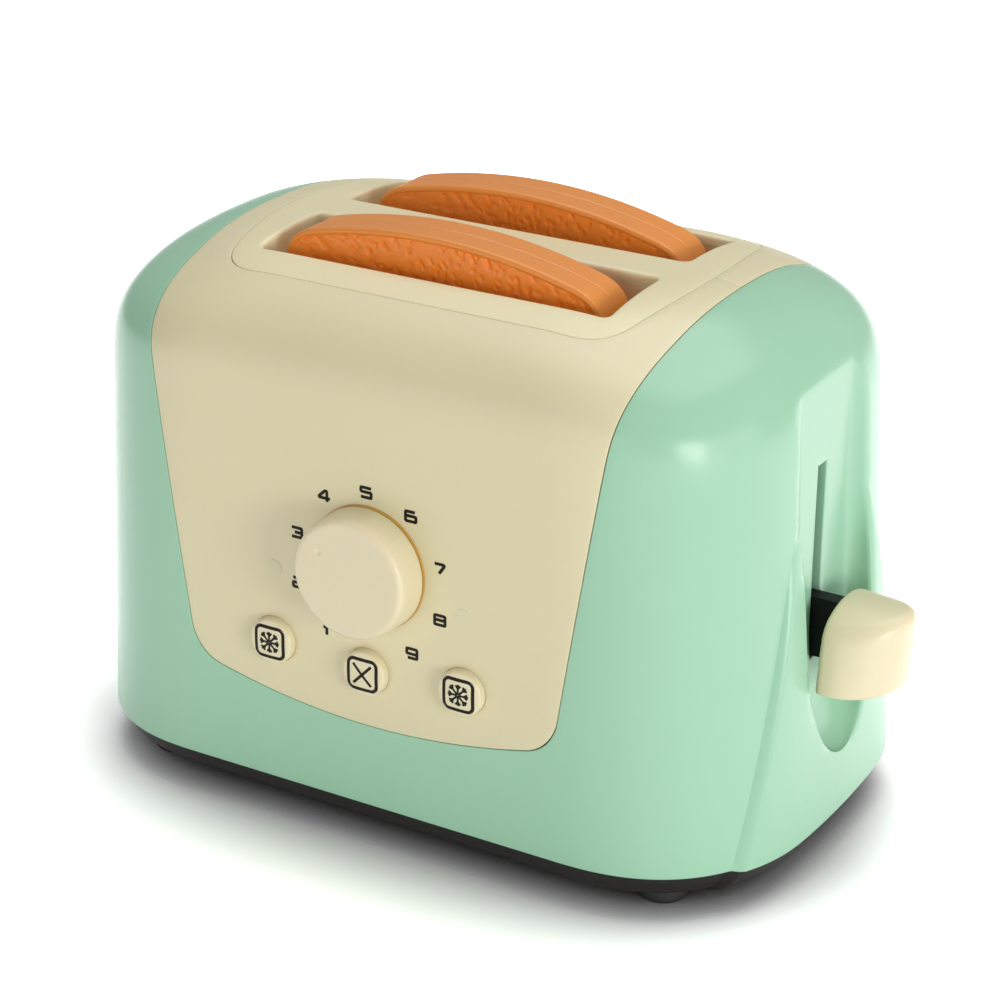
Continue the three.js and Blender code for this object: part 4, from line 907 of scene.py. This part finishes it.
bezel = add_mesh("bezel", placed(verts), faces, "housing")
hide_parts("slot_bezel")
paint(bezel, moulded("bezel_cream", (0.80, 0.725, 0.465), 0.36, mottle=0.02, bump=0.03,
                     scale=260.0, subsurface=0.3))


# Timer knob: a cream plastic cup with a plain face, a soft rim and a small dimple as its pointer,
# pushed onto the arbor. It is one profile turned about the arbor's line.
def box_of(name):
    """The low and high corners of a CAD node, in millimetres about the body's middle."""
    return [np.array(corner) * 1000 - middle * 1000 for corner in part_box(name)]


def softened(path, radii, steps=5):
    """A path with its inner corners rounded: each gives way to an arc of its radius r that meets
    both sides r / tan(half the corner's angle) away from it."""
    path = np.array(path, float)
    result = [path[0]]
    for k in range(1, len(path) - 1):
        radius = radii[k]
        if radius <= 0:
            result.append(path[k])
            continue
        before = path[k - 1] - path[k]
        after = path[k + 1] - path[k]
        before /= np.linalg.norm(before)
        after /= np.linalg.norm(after)
        half = np.arccos(np.clip(before @ after, -1, 1)) / 2
        reach = radius / tan(half)
        middle_way = (before + after) / np.linalg.norm(before + after)
        centre = path[k] + middle_way * radius / sin(half)
        start, end = path[k] + before * reach - centre, path[k] + after * reach - centre
        span = np.arccos(np.clip(start @ end / radius**2, -1, 1))
        for share in np.linspace(0, 1, steps + 1):
            arc = (sin((1 - share) * span) * start + sin(share * span) * end) / sin(span)
            result.append(centre + arc)
    result.append(path[-1])
    return np.array(result)


def spun(profile, x, z, segments):
    """Each (radius, y) of a profile turned about the line along Y through x and z: the points
    x + radius cos t, y, z + radius sin t, ring by ring."""
    angle = np.linspace(0, 2 * pi, segments, endpoint=False)
    return np.stack([
        x + profile[:, :1] * np.cos(angle),
        np.repeat(profile[:, 1:], segments, 1),
        z + profile[:, :1] * np.sin(angle),
    ], 2).reshape(-1, 3)


def closed_grid(rows, columns):
    """Triangles of a grid whose rows are rings, with a fan to one more point at each end. The
    points are numbered ring by ring, and the two ends come last."""
    first = rows * columns
    here = np.arange(columns)
    after = np.roll(here, -1)
    tail = first - columns
    return np.concatenate([
        grid_faces(rows, columns, closed=True),
        np.stack([np.full(columns, first), after, here], 1),
        np.stack([np.full(columns, first + 1), here + tail, after + tail], 1),
    ])


def turned(profile, x, z, segments):
    """A closed form: a profile with both ends on the line along Y through x and z, spun round it."""
    body = profile[1:-1]
    ends = [[x, profile[0, 1], z], [x, profile[-1, 1], z]]
    points = np.concatenate([spun(body, x, z, segments), ends])
    return points, closed_grid(len(body), segments)[:, ::-1]


knob_face, knob_foot = (corner[1] for corner in box_of("timer_knob"))
knob_back = knob_face + 1.9
front_radius, foot_radius, mouth_radius, cup_radius, hub_radius = 13.8, 14.2, 12.3, 11.9, 4
bore_radius = 2.35
profile = softened(
    [(0, knob_face), (front_radius, knob_face), (foot_radius, knob_foot),
     (mouth_radius, knob_foot), (cup_radius, knob_back), (hub_radius, knob_back),
     (hub_radius, knob_foot), (bore_radius, knob_foot), (bore_radius, knob_back), (0, knob_back)],
    [0, 1.35, 0.35, 0.3, 0.8, 0.5, 0.2, 0.2, 0, 0])
rings = np.concatenate([np.linspace(0, 7.2, 9), np.linspace(7.4, 10.4, 16), [11.3, 12.2]])
profile = np.concatenate([np.stack([rings, np.full(len(rings), knob_face)], 1), profile[1:]])
points, faces = turned(profile, knob_x, knob_z, 160)
pointer, pointer_ring, dimple_deep, dimple_wide = radians(-55), 8.9, 0.3, 0.6
spot = np.array([knob_x + pointer_ring * sin(pointer), knob_z + pointer_ring * cos(pointer)])
away = np.hypot(points[:, 0] - spot[0], points[:, 2] - spot[1])
on_face = points[:, 1] < knob_face + 0.01
points[:, 1] += np.where(on_face, dimple_deep * np.exp(-((away / dimple_wide) ** 2)), 0)
knob = add_mesh("knob", placed(points), faces, "timer")
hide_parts("timer_knob")
pale_cream = moulded("pale_cream", (0.80, 0.715, 0.48), 0.34, mottle=0.02, bump=0.02, scale=260.0,
                     subsurface=0.25)
paint(knob, pale_cream)


# Knob gap shade: a thin amber-brown ring of painted shade in the gap between the knob and the
# panel, seen as a fine dark golden line round the knob's foot. It is a small rectangle turned
# about the arbor's line.
gap_shade_in, gap_shade_out, gap_shade_room, gap_shade_sunk = 12.5, 14.38, 0.06, 0.3
panel_y = front_points(np.array([[knob_x, knob_z]]))[0, 1]
section = np.array([
    (gap_shade_in, knob_foot + gap_shade_room),
    (gap_shade_out, knob_foot + gap_shade_room),
    (gap_shade_out, panel_y + gap_shade_sunk),
    (gap_shade_in, panel_y + gap_shade_sunk),
])
points = spun(section, knob_x, knob_z, 120)
faces = grid_faces(len(section) + 1, 120, closed=True) % len(points)
gap_shade_ring = add_mesh("knob_gap_shade", placed(points), outwards(points, faces), "housing")
# Painted shade: the ring's amber-brown colour stands for the shadow in the gap under the knob.
paint(gap_shade_ring, moulded("painted_gap_shade", (0.60, 0.33, 0.06), 0.35, mottle=0.08, scale=300.0))


# Push buttons: three small cream plastic caps with a crowned face and a soft rim, each moulded in
# one with the flange behind the panel and the stem that the carrier guides. Each is one profile
# turned about its own line.
buttons = [
    ("defrost_button_left", "defrost_left"),
    ("cancel_button", "cancel"),
    ("defrost_button_right", "defrost_right"),
]
crown_radius, cap_front, cap_radius, flange_radius, stem_radius = 4.0, 5.44, 5.46, 6.2, 1.6
press_room, flange_thick = 2.4, 1.2


def button_crown(r):
    """How far a cap's face falls back at radius r: 0.22 (r / crown_radius)^2.2."""
    return 0.22 * (r / crown_radius) ** 2.2


for name, body in buttons:
    low, high = box_of(name)
    x, z, face = (low[0] + high[0]) / 2, (low[2] + high[2]) / 2, low[1]
    flange = face + press_room + wall + seam
    dome = np.linspace(0, crown_radius, 8)
    crowned = np.stack([dome, button_crown(dome) + face], 1)
    rest = softened(
        [(crown_radius, crowned[-1, 1]), (cap_front, face + 0.36), (cap_radius, flange),
         (flange_radius, flange), (flange_radius, flange + flange_thick),
         (stem_radius, flange + flange_thick), (stem_radius, high[1]), (0, high[1])],
        [0, 0.75, 0, 0.2, 0.2, 0, 0.3, 0])
    profile = np.concatenate([crowned, rest[1:]])
    points, faces = turned(profile, x, z, 72)
    cap = add_mesh(name + "_cap", placed(points), faces, body)
    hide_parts(name)
    paint(cap, pale_cream)


# Printed marks: dark brown numbers round the knob, and a sign on each button. Each is a thin film
# of ink, made as bands along its strokes and laid on the plastic.
def stroke(line, width, closed=False):
    """The two edges of a band of the given width along a flat line, mitred at its bends: half the
    width to each side over the cosine of half the bend."""
    line = np.array(line, float)
    before, after = np.roll(line, 1, axis=0), np.roll(line, -1, axis=0)
    if not closed:
        before[0] = 2 * line[0] - line[1]
        after[-1] = 2 * line[-1] - line[-2]
    into, onward = line - before, after - line
    into /= np.linalg.norm(into, axis=1)[:, None]
    onward /= np.linalg.norm(onward, axis=1)[:, None]
    tangent = into + onward
    tangent /= np.linalg.norm(tangent, axis=1)[:, None]
    reach = width / 2 / np.maximum((tangent * into).sum(1), 0.5)
    side = np.stack([-tangent[:, 1], tangent[:, 0]], 1) * reach[:, None]
    return line + side, line - side


def inked(lines, width, depth_at, centre, film=0.045, root=0.15):
    """Closed thin bands along the lines, each given with True if it is a ring. A band stands film
    proud of the plastic, whose y is depth_at, and reaches root into it."""
    points, faces, used = [], [], 0
    for line, is_ring in lines:
        left, right = stroke(np.array(line) + centre, width, is_ring)
        count = len(left)
        edges = [(left, film), (right, film), (right, -root), (left, -root)]
        rows = np.stack([np.stack([e[:, 0], depth_at(e) - lift, e[:, 1]], 1) for e, lift in edges], 1)
        own = rows.reshape(-1, 3)
        band = grid_faces(count + 1 if is_ring else count, 4, closed=True) % len(own)
        if not is_ring:
            tail = len(own) - 4
            caps = [[0, 2, 1], [0, 3, 2], [tail, tail + 1, tail + 2], [tail, tail + 2, tail + 3]]
            band = np.concatenate([band, caps])
        points.append(own)
        faces.append(outwards(own - own.mean(0), band) + used)
        used += len(own)
    return np.concatenate(points), np.concatenate(faces)


def drawn(path, radius=0.22, step=0.25):
    """A flat line with its bends rounded and its points close together."""
    path = np.array(path, float)
    if len(path) > 2:
        path = softened(path, [radius] * len(path), steps=4)
    return even(path, step)


number_wide, number_tall, number_stroke = 2.6, 2.2, 0.72
number_ring, number_z, number_start, number_pitch = 19.45, 67.0, -144, 36
number_shift = {1: (0.5, 0), 2: (0.5, 0), 3: (0.4, 0), 4: (0.6, 0.5), 6: (-0.2, 0.7)}
number_shapes = {
    1: [[(0.30, 0.72), (0.62, 1.0), (0.62, 0.0)]],
    2: [[(0, 1), (1, 1), (1, 0.5), (0, 0.5), (0, 0), (1, 0)]],
    3: [[(0, 1), (1, 1), (1, 0), (0, 0)], [(0.3, 0.5), (1, 0.5)]],
    4: [[(0.8, -0.05), (0.8, 1.08), (0.6, 1.08), (-0.1, 0.3), (1.1, 0.3)]],
    5: [[(1, 1), (0, 1), (0, 0.55), (1, 0.55), (1, 0), (0, 0)]],
    6: [[(0.9, 1), (0, 1), (0, 0), (1, 0), (1, 0.55), (0, 0.55)]],
    7: [[(0, 1), (1, 1), (0.42, 0)]],
    8: [[(0.5, 0), (0, 0), (0, 1), (1, 1), (1, 0), (0.5, 0)], [(0, 0.52), (1, 0.52)]],
    9: [[(1, 0.45), (0, 0.45), (0, 1), (1, 1), (1, 0), (0.1, 0)]],
}
numbers = []
for digit, shapes in number_shapes.items():
    place = radians(number_start + number_pitch * (digit - 1))
    spot = np.array([number_ring * sin(place), number_z + number_ring * cos(place)])
    spot = spot + number_shift.get(digit, (0, 0))
    for shape in shapes:
        path = (np.array(shape) - 0.5) * [number_wide, number_tall] + spot
        numbers.append((drawn(path), False))
points, faces = inked(numbers, number_stroke, lambda e: front_points(e)[:, 1], np.zeros(2))
dial = add_mesh("dial_numbers", placed(points), faces, "housing", smooth=False)
ink = moulded("ink", (0.018, 0.012, 0.008), 0.6, mottle=0.1, bump=0.04, scale=500.0, specular=0.12)
paint(dial, ink)

sign_half, sign_round, sign_stroke, sign_corner, sign_film = 3.6, 2.55, 0.8, 1.35, 0.03
square = round_cornered((-sign_half, -sign_half), (sign_half, sign_half), sign_corner, 6, first=-90)
frame_line = (even(square, 0.4)[:-1], True)
cross = [(drawn([(-2.3, -2.4), (2.3, 2.4)]), False), (drawn([(-2.3, 2.4), (2.3, -2.4)]), False)]
flake = []
for k in range(8):
    way = pi / 4 * k
    arm = sign_round * (1.1 if k % 2 else 1.0)
    along = np.array([cos(way), sin(way)])
    across = np.array([-sin(way), cos(way)])
    flake.append((drawn([along * 0.1, along * arm]), False))
    for hand in [-1, 1]:
        barb = along * (arm - 0.25) + across * 0.62 * hand
        flake.append((drawn([along * (arm - 1.0), barb]), False))
for (name, body), (lines, width) in zip(buttons, [(flake, 0.50), (cross, 0.66), (flake, 0.50)]):
    low, high = box_of(name)
    spot = np.array([(low[0] + high[0]) / 2, (low[2] + high[2]) / 2])

    def cap_face(e):
        """The y of the cap's face at flat points."""
        return low[1] + button_crown(np.hypot(*(e - spot).T))

    outer, outer_faces = inked([frame_line], sign_stroke, cap_face, spot, film=sign_film)
    inner, inner_faces = inked(lines, width, cap_face, spot, film=sign_film)
    points = np.concatenate([outer, inner])
    faces = np.concatenate([outer_faces, inner_faces + len(outer)])
    sign = add_mesh(name + "_sign", placed(points), faces, body, smooth=False)
    paint(sign, ink)


# Round marks: two faint discs on the panel beside the dial, where the mould's pins pressed. Each
# is a low cream disc turned about a line through the panel.
mark_x, mark_z, mark_face, mark_root, mark_proud, mark_sunk = 24.2, 63.0, 1.95, 2.05, 0.09, 0.2
for name, x in [("pin_mark_left", -mark_x), ("pin_mark_right", mark_x)]:
    y = front_points(np.array([[x, mark_z]]))[0, 1]
    profile = softened([(0, y - mark_proud), (mark_face, y - mark_proud),
                        (mark_root, y + mark_sunk), (0, y + mark_sunk)], [0, 0.05, 0, 0])
    points, faces = turned(profile, x, mark_z, 48)
    mark = add_mesh(name, placed(points), outwards(points, faces), "housing")
    paint(mark, cream)


# Lever knob: a cream plastic handle with an arched back that falls away outwards and a rounded
# nose, pushed onto the end of the carriage's arm. It is one closed surface, and its formula
# rounds all its edges.
handle_in, handle_foot, handle_rise = 87.8, 43.6, 18.5
handle_half, handle_taper, nose_reach, nose_swell, nose_start = 14, 3, 12.2, 1.4, 3
arch_drop, arch_half, back_fall = 3.6, 11.2, tan(radians(3.4))
top_round, foot_round, root_round = 2.4, 0.9, 1.2


def handle_gap(p):
    """How far p lies outside the handle: a nose that is elliptic in plan and narrower above, under
    a back whose height is rise - drop (y / half)^2.3, less its fall outwards."""
    x, y, z = p[..., 0] - handle_in, np.abs(p[..., 1]), p[..., 2]
    climb = np.clip((z - handle_foot) / handle_rise, -0.2, 1.1)
    half = handle_half - handle_taper * climb
    nose = nose_reach + nose_swell * climb
    ellipse = np.hypot(np.maximum(x - nose_start, 0) / nose, y / half)
    plan = (ellipse - 1) * np.minimum(half, nose)
    arch = handle_foot + handle_rise - arch_drop * (y / arch_half) ** 2.3
    over = (z - arch + x * back_fall) * 0.8
    body = softly(plan, over, top_round)
    return softly(softly(body, handle_foot - z, foot_round), -x, root_round)


lift = (pi / 2) * np.linspace(-1, 1, 121)
angle = np.linspace(0, 2 * pi, 168, endpoint=False)
ray = np.stack([
    np.outer(np.cos(lift), np.cos(angle)),
    np.outer(np.cos(lift), np.sin(angle)),
    np.repeat(np.sin(lift)[:, None], len(angle), 1),
], 2)[1:-1].reshape(-1, 3)
ray = np.concatenate([ray, [[0, 0, -1], [0, 0, 1]]])
centre = np.array([handle_in + 7, 0, handle_foot + 9.0])
points = march(np.tile(centre, (len(ray), 1)), ray, reach=40, gap=handle_gap)
faces = closed_grid(len(lift) - 2, len(angle))
handle = add_mesh("lever_handle", placed(points), faces, "carriage")
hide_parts("lever_knob")
paint(handle, pale_cream)


# Slices of toast: two soft orange plastic slices, moulded in two halves that meet in a fine line
# round the edge. Each face lies a little inside a smooth crust and is pebbled all over like crumb.
toast_half, toast_waist, toast_tall, toast_thick = 40.4, 37.4, 80.0, 13.0
crumb_eye, toast_room, edge_round, face_sunk, pit_deep = 54.0, 0.1, 0.9, 0.3, 0.48


def toast_outline(count):
    """The slice's outline as count directions and distances from a point on its middle line,
    crumb_eye above its foot: straight sides, a swell up to the shoulders and a domed crown, drawn
    with bent curves and cut into fine steps before the distances are read off."""
    dome, shoulder_run, waist_height, corner = 6.3, 7.2, 46.0, 7.0
    flat_run = toast_half - shoulder_run
    slope = 2 * dome * flat_run / toast_half**2
    start = toast_tall - slope * flat_run / 2
    side = start - shoulder_run * 1.2
    bulge = (waist_height + side) / 2
    turn_at = (toast_half, start - slope * shoulder_run)
    line = np.concatenate([
        [(0, 0), (toast_waist - corner, 0)],
        quadratic((toast_waist - corner, 0), (toast_waist, 0), (toast_waist, corner)),
        [(toast_waist, waist_height)],
        quadratic((toast_waist, waist_height), (toast_half, bulge), (toast_half, side), 30),
        quadratic((toast_half, side), turn_at, (flat_run, start), 30),
        quadratic((flat_run, start), (0, 2 * toast_tall - start), (-flat_run, start), 60)[:30],
    ])
    line = in_steps(np.concatenate([line, (line * [-1, 1])[::-1]]), 3999)
    line[:, 1] -= crumb_eye
    angle = np.unwrap(np.arctan2(line[:, 1], line[:, 0]))
    away = np.hypot(line[:, 0], line[:, 1])
    wanted = np.linspace(-pi / 2, 1.5 * pi, count, endpoint=False)
    order = np.argsort(angle)
    return wanted, np.interp(wanted, angle[order], away[order])


def smooth_step(t):
    """0 below 0, 1 above 1 and a soft rise between: t^2 (3 - 2 t)."""
    t = np.clip(t, 0, 1)
    return t * t * (3 - 2 * t)


def crumb(xz, seed):
    """Depth of the pebbled face, 0 to 1: tanh(1.1 s), with s the sum of many small leaning pits,
    each deep exp(-(dx / wide)^2 - (dz / wide / taller)^2)."""
    rng = np.random.default_rng(seed)
    count, reach = 2000, 2.2
    spot = rng.uniform([-41, -crumb_eye], [41, 30], (count, 2))
    wide = rng.uniform(0.3, 0.52, count)
    taller = rng.uniform(0.8, 1.9, count)
    deep = rng.uniform(0.5, 1.0, count)
    lean = rng.uniform(-0.5, 0.5, count)
    order = np.argsort(xz[:, 0])
    across = xz[order]
    pits = np.zeros(len(xz))
    first = np.searchsorted(across[:, 0], spot[:, 0] - reach)
    last = np.searchsorted(across[:, 0], spot[:, 0] + reach)
    for k in range(count):
        part = slice(first[k], last[k])
        dz = across[part, 1] - spot[k, 1]
        dx = across[part, 0] - spot[k, 0] + lean[k] * dz
        pits[part] += deep[k] * np.exp(-((dx / wide[k]) ** 2 + (dz / wide[k] / taller[k]) ** 2))
    result = np.zeros(len(xz))
    result[order] = pits
    return np.tanh(result * 1.1)


def toast_mesh(seed):
    """One slice: rings from the middle of the front face out to the crust, round the edge and back
    in. Also returns how much each point belongs to the crumb, from 0 on the crust, for its colour."""
    angle, away = toast_outline(440)
    away = away - toast_room
    count = len(angle)
    rim_line = np.stack([away * np.cos(angle), away * np.sin(angle)], 1)
    share = np.concatenate([
        np.linspace(0, 0.9, 80)[1:],
        0.9 + 0.1 * np.sin(np.linspace(0, pi / 2, 22))[1:],
    ])
    xz = rim_line[None] * share[:, None, None]
    flat_xz = xz.reshape(-1, 2)
    inset = distance(flat_xz, rim_line, closed=True).reshape(len(share), count)
    half = toast_thick / 2
    curve = np.sqrt(np.clip(edge_round**2 - np.maximum(edge_round - inset, 0) ** 2, 0, None))
    face_mask = smooth_step((inset - 1.0) / 0.6)
    sheets, masks = [], []
    for side in [0, 1]:
        pits = crumb(flat_xz, seed + side).reshape(len(share), count)
        height = half - edge_round + curve - face_sunk * face_mask
        height -= pit_deep * pits * smooth_step((inset - 1.2) / 0.6)
        sheets.append(height)
        masks.append(face_mask * (0.6 + 0.4 * pits))
    front_sheet = np.stack([xz[..., 0], -sheets[0], xz[..., 1]], 2)
    back_sheet = np.stack([xz[..., 0], sheets[1], xz[..., 1]], 2)[::-1]
    # The edge between the faces: a low crown with a fine, slightly wavy groove in its middle.
    band = np.array([-3.6, -2.0, -0.6, -0.26, -0.1, 0.1, 0.26, 0.6, 2.0, 3.6])
    outward = rim_line / np.linalg.norm(rim_line, axis=1)[:, None]
    wave = 0.05 * np.sin(angle * 23 + seed) + 0.04 * np.sin(angle * 41)
    line = []
    for y in band:
        groove = -0.14 * np.exp(-((y / 0.18) ** 2)) + 0.1 * (1 - (y / 4.6) ** 2) - 0.17
        place = rim_line + outward * groove
        line.append(np.stack([place[:, 0], y + wave * (abs(y) < 0.7), place[:, 1]], 1))
    sheet = np.concatenate([front_sheet, np.array(line), back_sheet])
    mask = np.concatenate([masks[0], np.zeros((len(band), count)), masks[1][::-1]])
    ends = np.array([[0, face_sunk - half, 0], [0, half - face_sunk, 0]])
    points = np.concatenate([sheet.reshape(-1, 3), ends])
    points[:, 2] += crumb_eye
    faces = outwards(points - points.mean(0), closed_grid(len(sheet), count))
    return points, faces, np.concatenate([mask.ravel(), [0.6, 0.6]])


def toast_finish():
    """Soft orange plastic: the crust is paler, and the pits between the crumbs are deeper in colour."""
    material = moulded("toast_look", (0.78, 0.275, 0.045), 0.36, mottle=0.04, bump=0.1,
                       scale=420.0, subsurface=0.2)
    tree = material.node_tree
    shader = tree.nodes["Principled BSDF"]
    tint = shader.inputs["Base Color"].links[0].from_node
    mask = tree.nodes.new("ShaderNodeAttribute")
    mask.attribute_name = "crumb"
    face = tree.nodes.new("ShaderNodeMixRGB")
    face.inputs[2].default_value = (0.95, 0.235, 0.010, 1)
    tree.links.new(mask.outputs["Fac"], face.inputs[0])
    tree.links.new(tint.outputs[0], face.inputs[1])
    tree.links.new(face.outputs[0], shader.inputs["Base Color"])
    return material


toast_look = toast_finish()
toast_tilt, toast_shift, toast_aside, toast_height = radians(1.7), 2.2, 18.7, 54.4
for name, side, seed in [("toast_front", -1, 5), ("toast_back", 1, 11)]:
    points, faces, mask = toast_mesh(seed)
    x = points[:, 0] * cos(toast_tilt) + points[:, 2] * sin(toast_tilt)
    z = -points[:, 0] * sin(toast_tilt) + points[:, 2] * cos(toast_tilt)
    points = np.stack([
        x - toast_shift,
        points[:, 1] + side * toast_aside,
        z + toast_height + seam + toast_shift * sin(toast_tilt),
    ], 1)
    toast = add_mesh(name + "_slice", placed(points), faces, name)
    crumb_share = toast.data.attributes.new("crumb", "FLOAT", "POINT")
    crumb_share.data.foreach_set("value", mask.astype(np.float32))
    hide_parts(name)
    paint(toast, toast_look)


# Base: a black plastic tray under the shell, with a bowl-shaped heel, five vents and four deep
# holes for the screws. Its skin is rows round the body's plan and a flat floor, given a wall.
base_top, base_low, base_in, base_draw, base_deep = 10.28, 3.6, 1.25, 5.6, 2.0
base_lip, vent_lip, vent_corner, vent_pitch = 0.22, 0.25, 1.3, 7.0
vent_half, vent_long = 1.3 + vent_lip, 17.0 + vent_lip
screw_x, screw_y, screw_hole = 76, 31, 3.55


def level_line(along, height, inset):
    """Points round the body at the given height, the given distance inside its plan."""
    level = np.array([1, 1, 0])
    line = rolled(np.stack([along, 0 * along], 1),
                  gap=lambda p: body_gap(p * level + [0, 0, height]) + inset)
    return line * level + [0, 0, height]


# The rows have their points closest at the creases of the apron, and sink to the floor on
# 1 - (1 - t^1.5)^(1/1.5).
crease_y = np.array([-1, 1]) * (crease_at(0) + crease_run)
notches = unrolled(end_surface(crease_y, np.array([edge, edge])))[:, 0]
close_by = [n + np.linspace(-3.2, 1.2, 23) for n in notches]
around = np.unique(np.concatenate([np.arange(0, 4 * quarter, 1.3), *close_by]).round(3))
around = around[np.concatenate([[True], np.diff(around) > 0.08])]
skirt = np.stack([
    level_line(around, base_top - (base_top - base_low) * t,
               base_in + base_draw * (1 - (1 - t**1.5) ** (1 / 1.5)))
    for t in np.sin(np.linspace(0, pi / 2, 16))
])
floor_line = skirt[-1, :, :2]
vent = round_cornered((-vent_half, -vent_long), (vent_half, vent_long), vent_corner, 4)
openings = [even(vent, 1.2)[:-1] + [vent_pitch * k, 0] for k in range(-2, 3)]
for sx in [-1, 1]:
    for sy in [-1, 1]:
        openings.append(ring((screw_x * sx, screw_y * sy), screw_hole, 24))
field = clear_of(spread((-90, -56), (90, 56), 3.0), [floor_line, *openings], 1.4)
flat, flat_faces = mesh_flat(floor_line, openings, field)
flat = np.concatenate([flat, np.full((len(flat), 1), base_low)], 1)
skirt_faces = grid_faces(len(skirt), len(around), closed=True)
floor_faces = flat_faces[:, ::-1] + skirt.shape[0] * skirt.shape[1]
points, faces = welded(np.concatenate([skirt.reshape(-1, 3), flat]),
                       np.concatenate([skirt_faces, floor_faces]), 0.01)
verts, faces, _ = thickened(points, faces, base_deep,
                            lambda centre: base_lip if abs(centre[2] - base_top) < 1 else vent_lip)
base = add_mesh("base_tray", placed(verts), outwards(verts, faces), "housing")
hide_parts("base_plate")
paint(base, moulded("black", (0.012, 0.010, 0.009), 0.34, mottle=0.1, bump=0.06, scale=500.0,
                    specular=0.22))


# Feet: four soft black rubber pads, each pressed by its peg into the base. Each is a profile
# turned about its upright axis.
pad_radius, pad_high, peg_radius, peg_high, hollow_deep = 5.6, 3.3, 2, 5.1, 0.12
rubber = moulded("rubber", (0.016, 0.016, 0.016), 0.7, mottle=0.15, bump=0.15, scale=400.0)
for k in range(4):
    low, high = box_of(f"foot_{k + 1}")
    profile = softened(
        [(0, hollow_deep), (2.4, hollow_deep), (3.0, 0), (4.9, 0), (pad_radius, 0.9),
         (pad_radius, pad_high), (peg_radius, pad_high), (peg_radius, peg_high), (0, peg_high)],
        [0, 0.3, 0.3, 0.8, 0.6, 0.3, 0.2, 0.3, 0])
    points, faces = turned(profile, (low[0] + high[0]) / 2, (low[1] + high[1]) / 2, 64)
    points = points[:, [0, 2, 1]]
    pad = add_mesh(f"foot_pad_{k + 1}", placed(points), outwards(points, faces), "housing")
    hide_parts(f"foot_{k + 1}")
    paint(pad, rubber)


# Works inside the body, kept as the source made them: black carriage, white button carrier and
# latch, brass timer plates and gear, and plain steel for springs, screws, posts and arbor.
white = moulded("white", (0.78, 0.77, 0.73), 0.5)
steel = moulded("steel", (0.6, 0.6, 0.62), 0.3, mottle=0.05, bump=0.05, metal=1.0)
brass = moulded("brass", (0.7, 0.5, 0.2), 0.35, mottle=0.06, bump=0.05, metal=1.0)
carriage_black = moulded("carriage_black", (0.008, 0.007, 0.007), 0.5, mottle=0.1, bump=0.1,
                         scale=500.0, specular=0.2)
works = {"black_plastic": carriage_black, "white_plastic": white, "steel": steel, "brass": brass}
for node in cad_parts.values():
    kept = node.material_slots[0].name if node.material_slots else ""
    if kept in works:
        paint(node, works[kept])
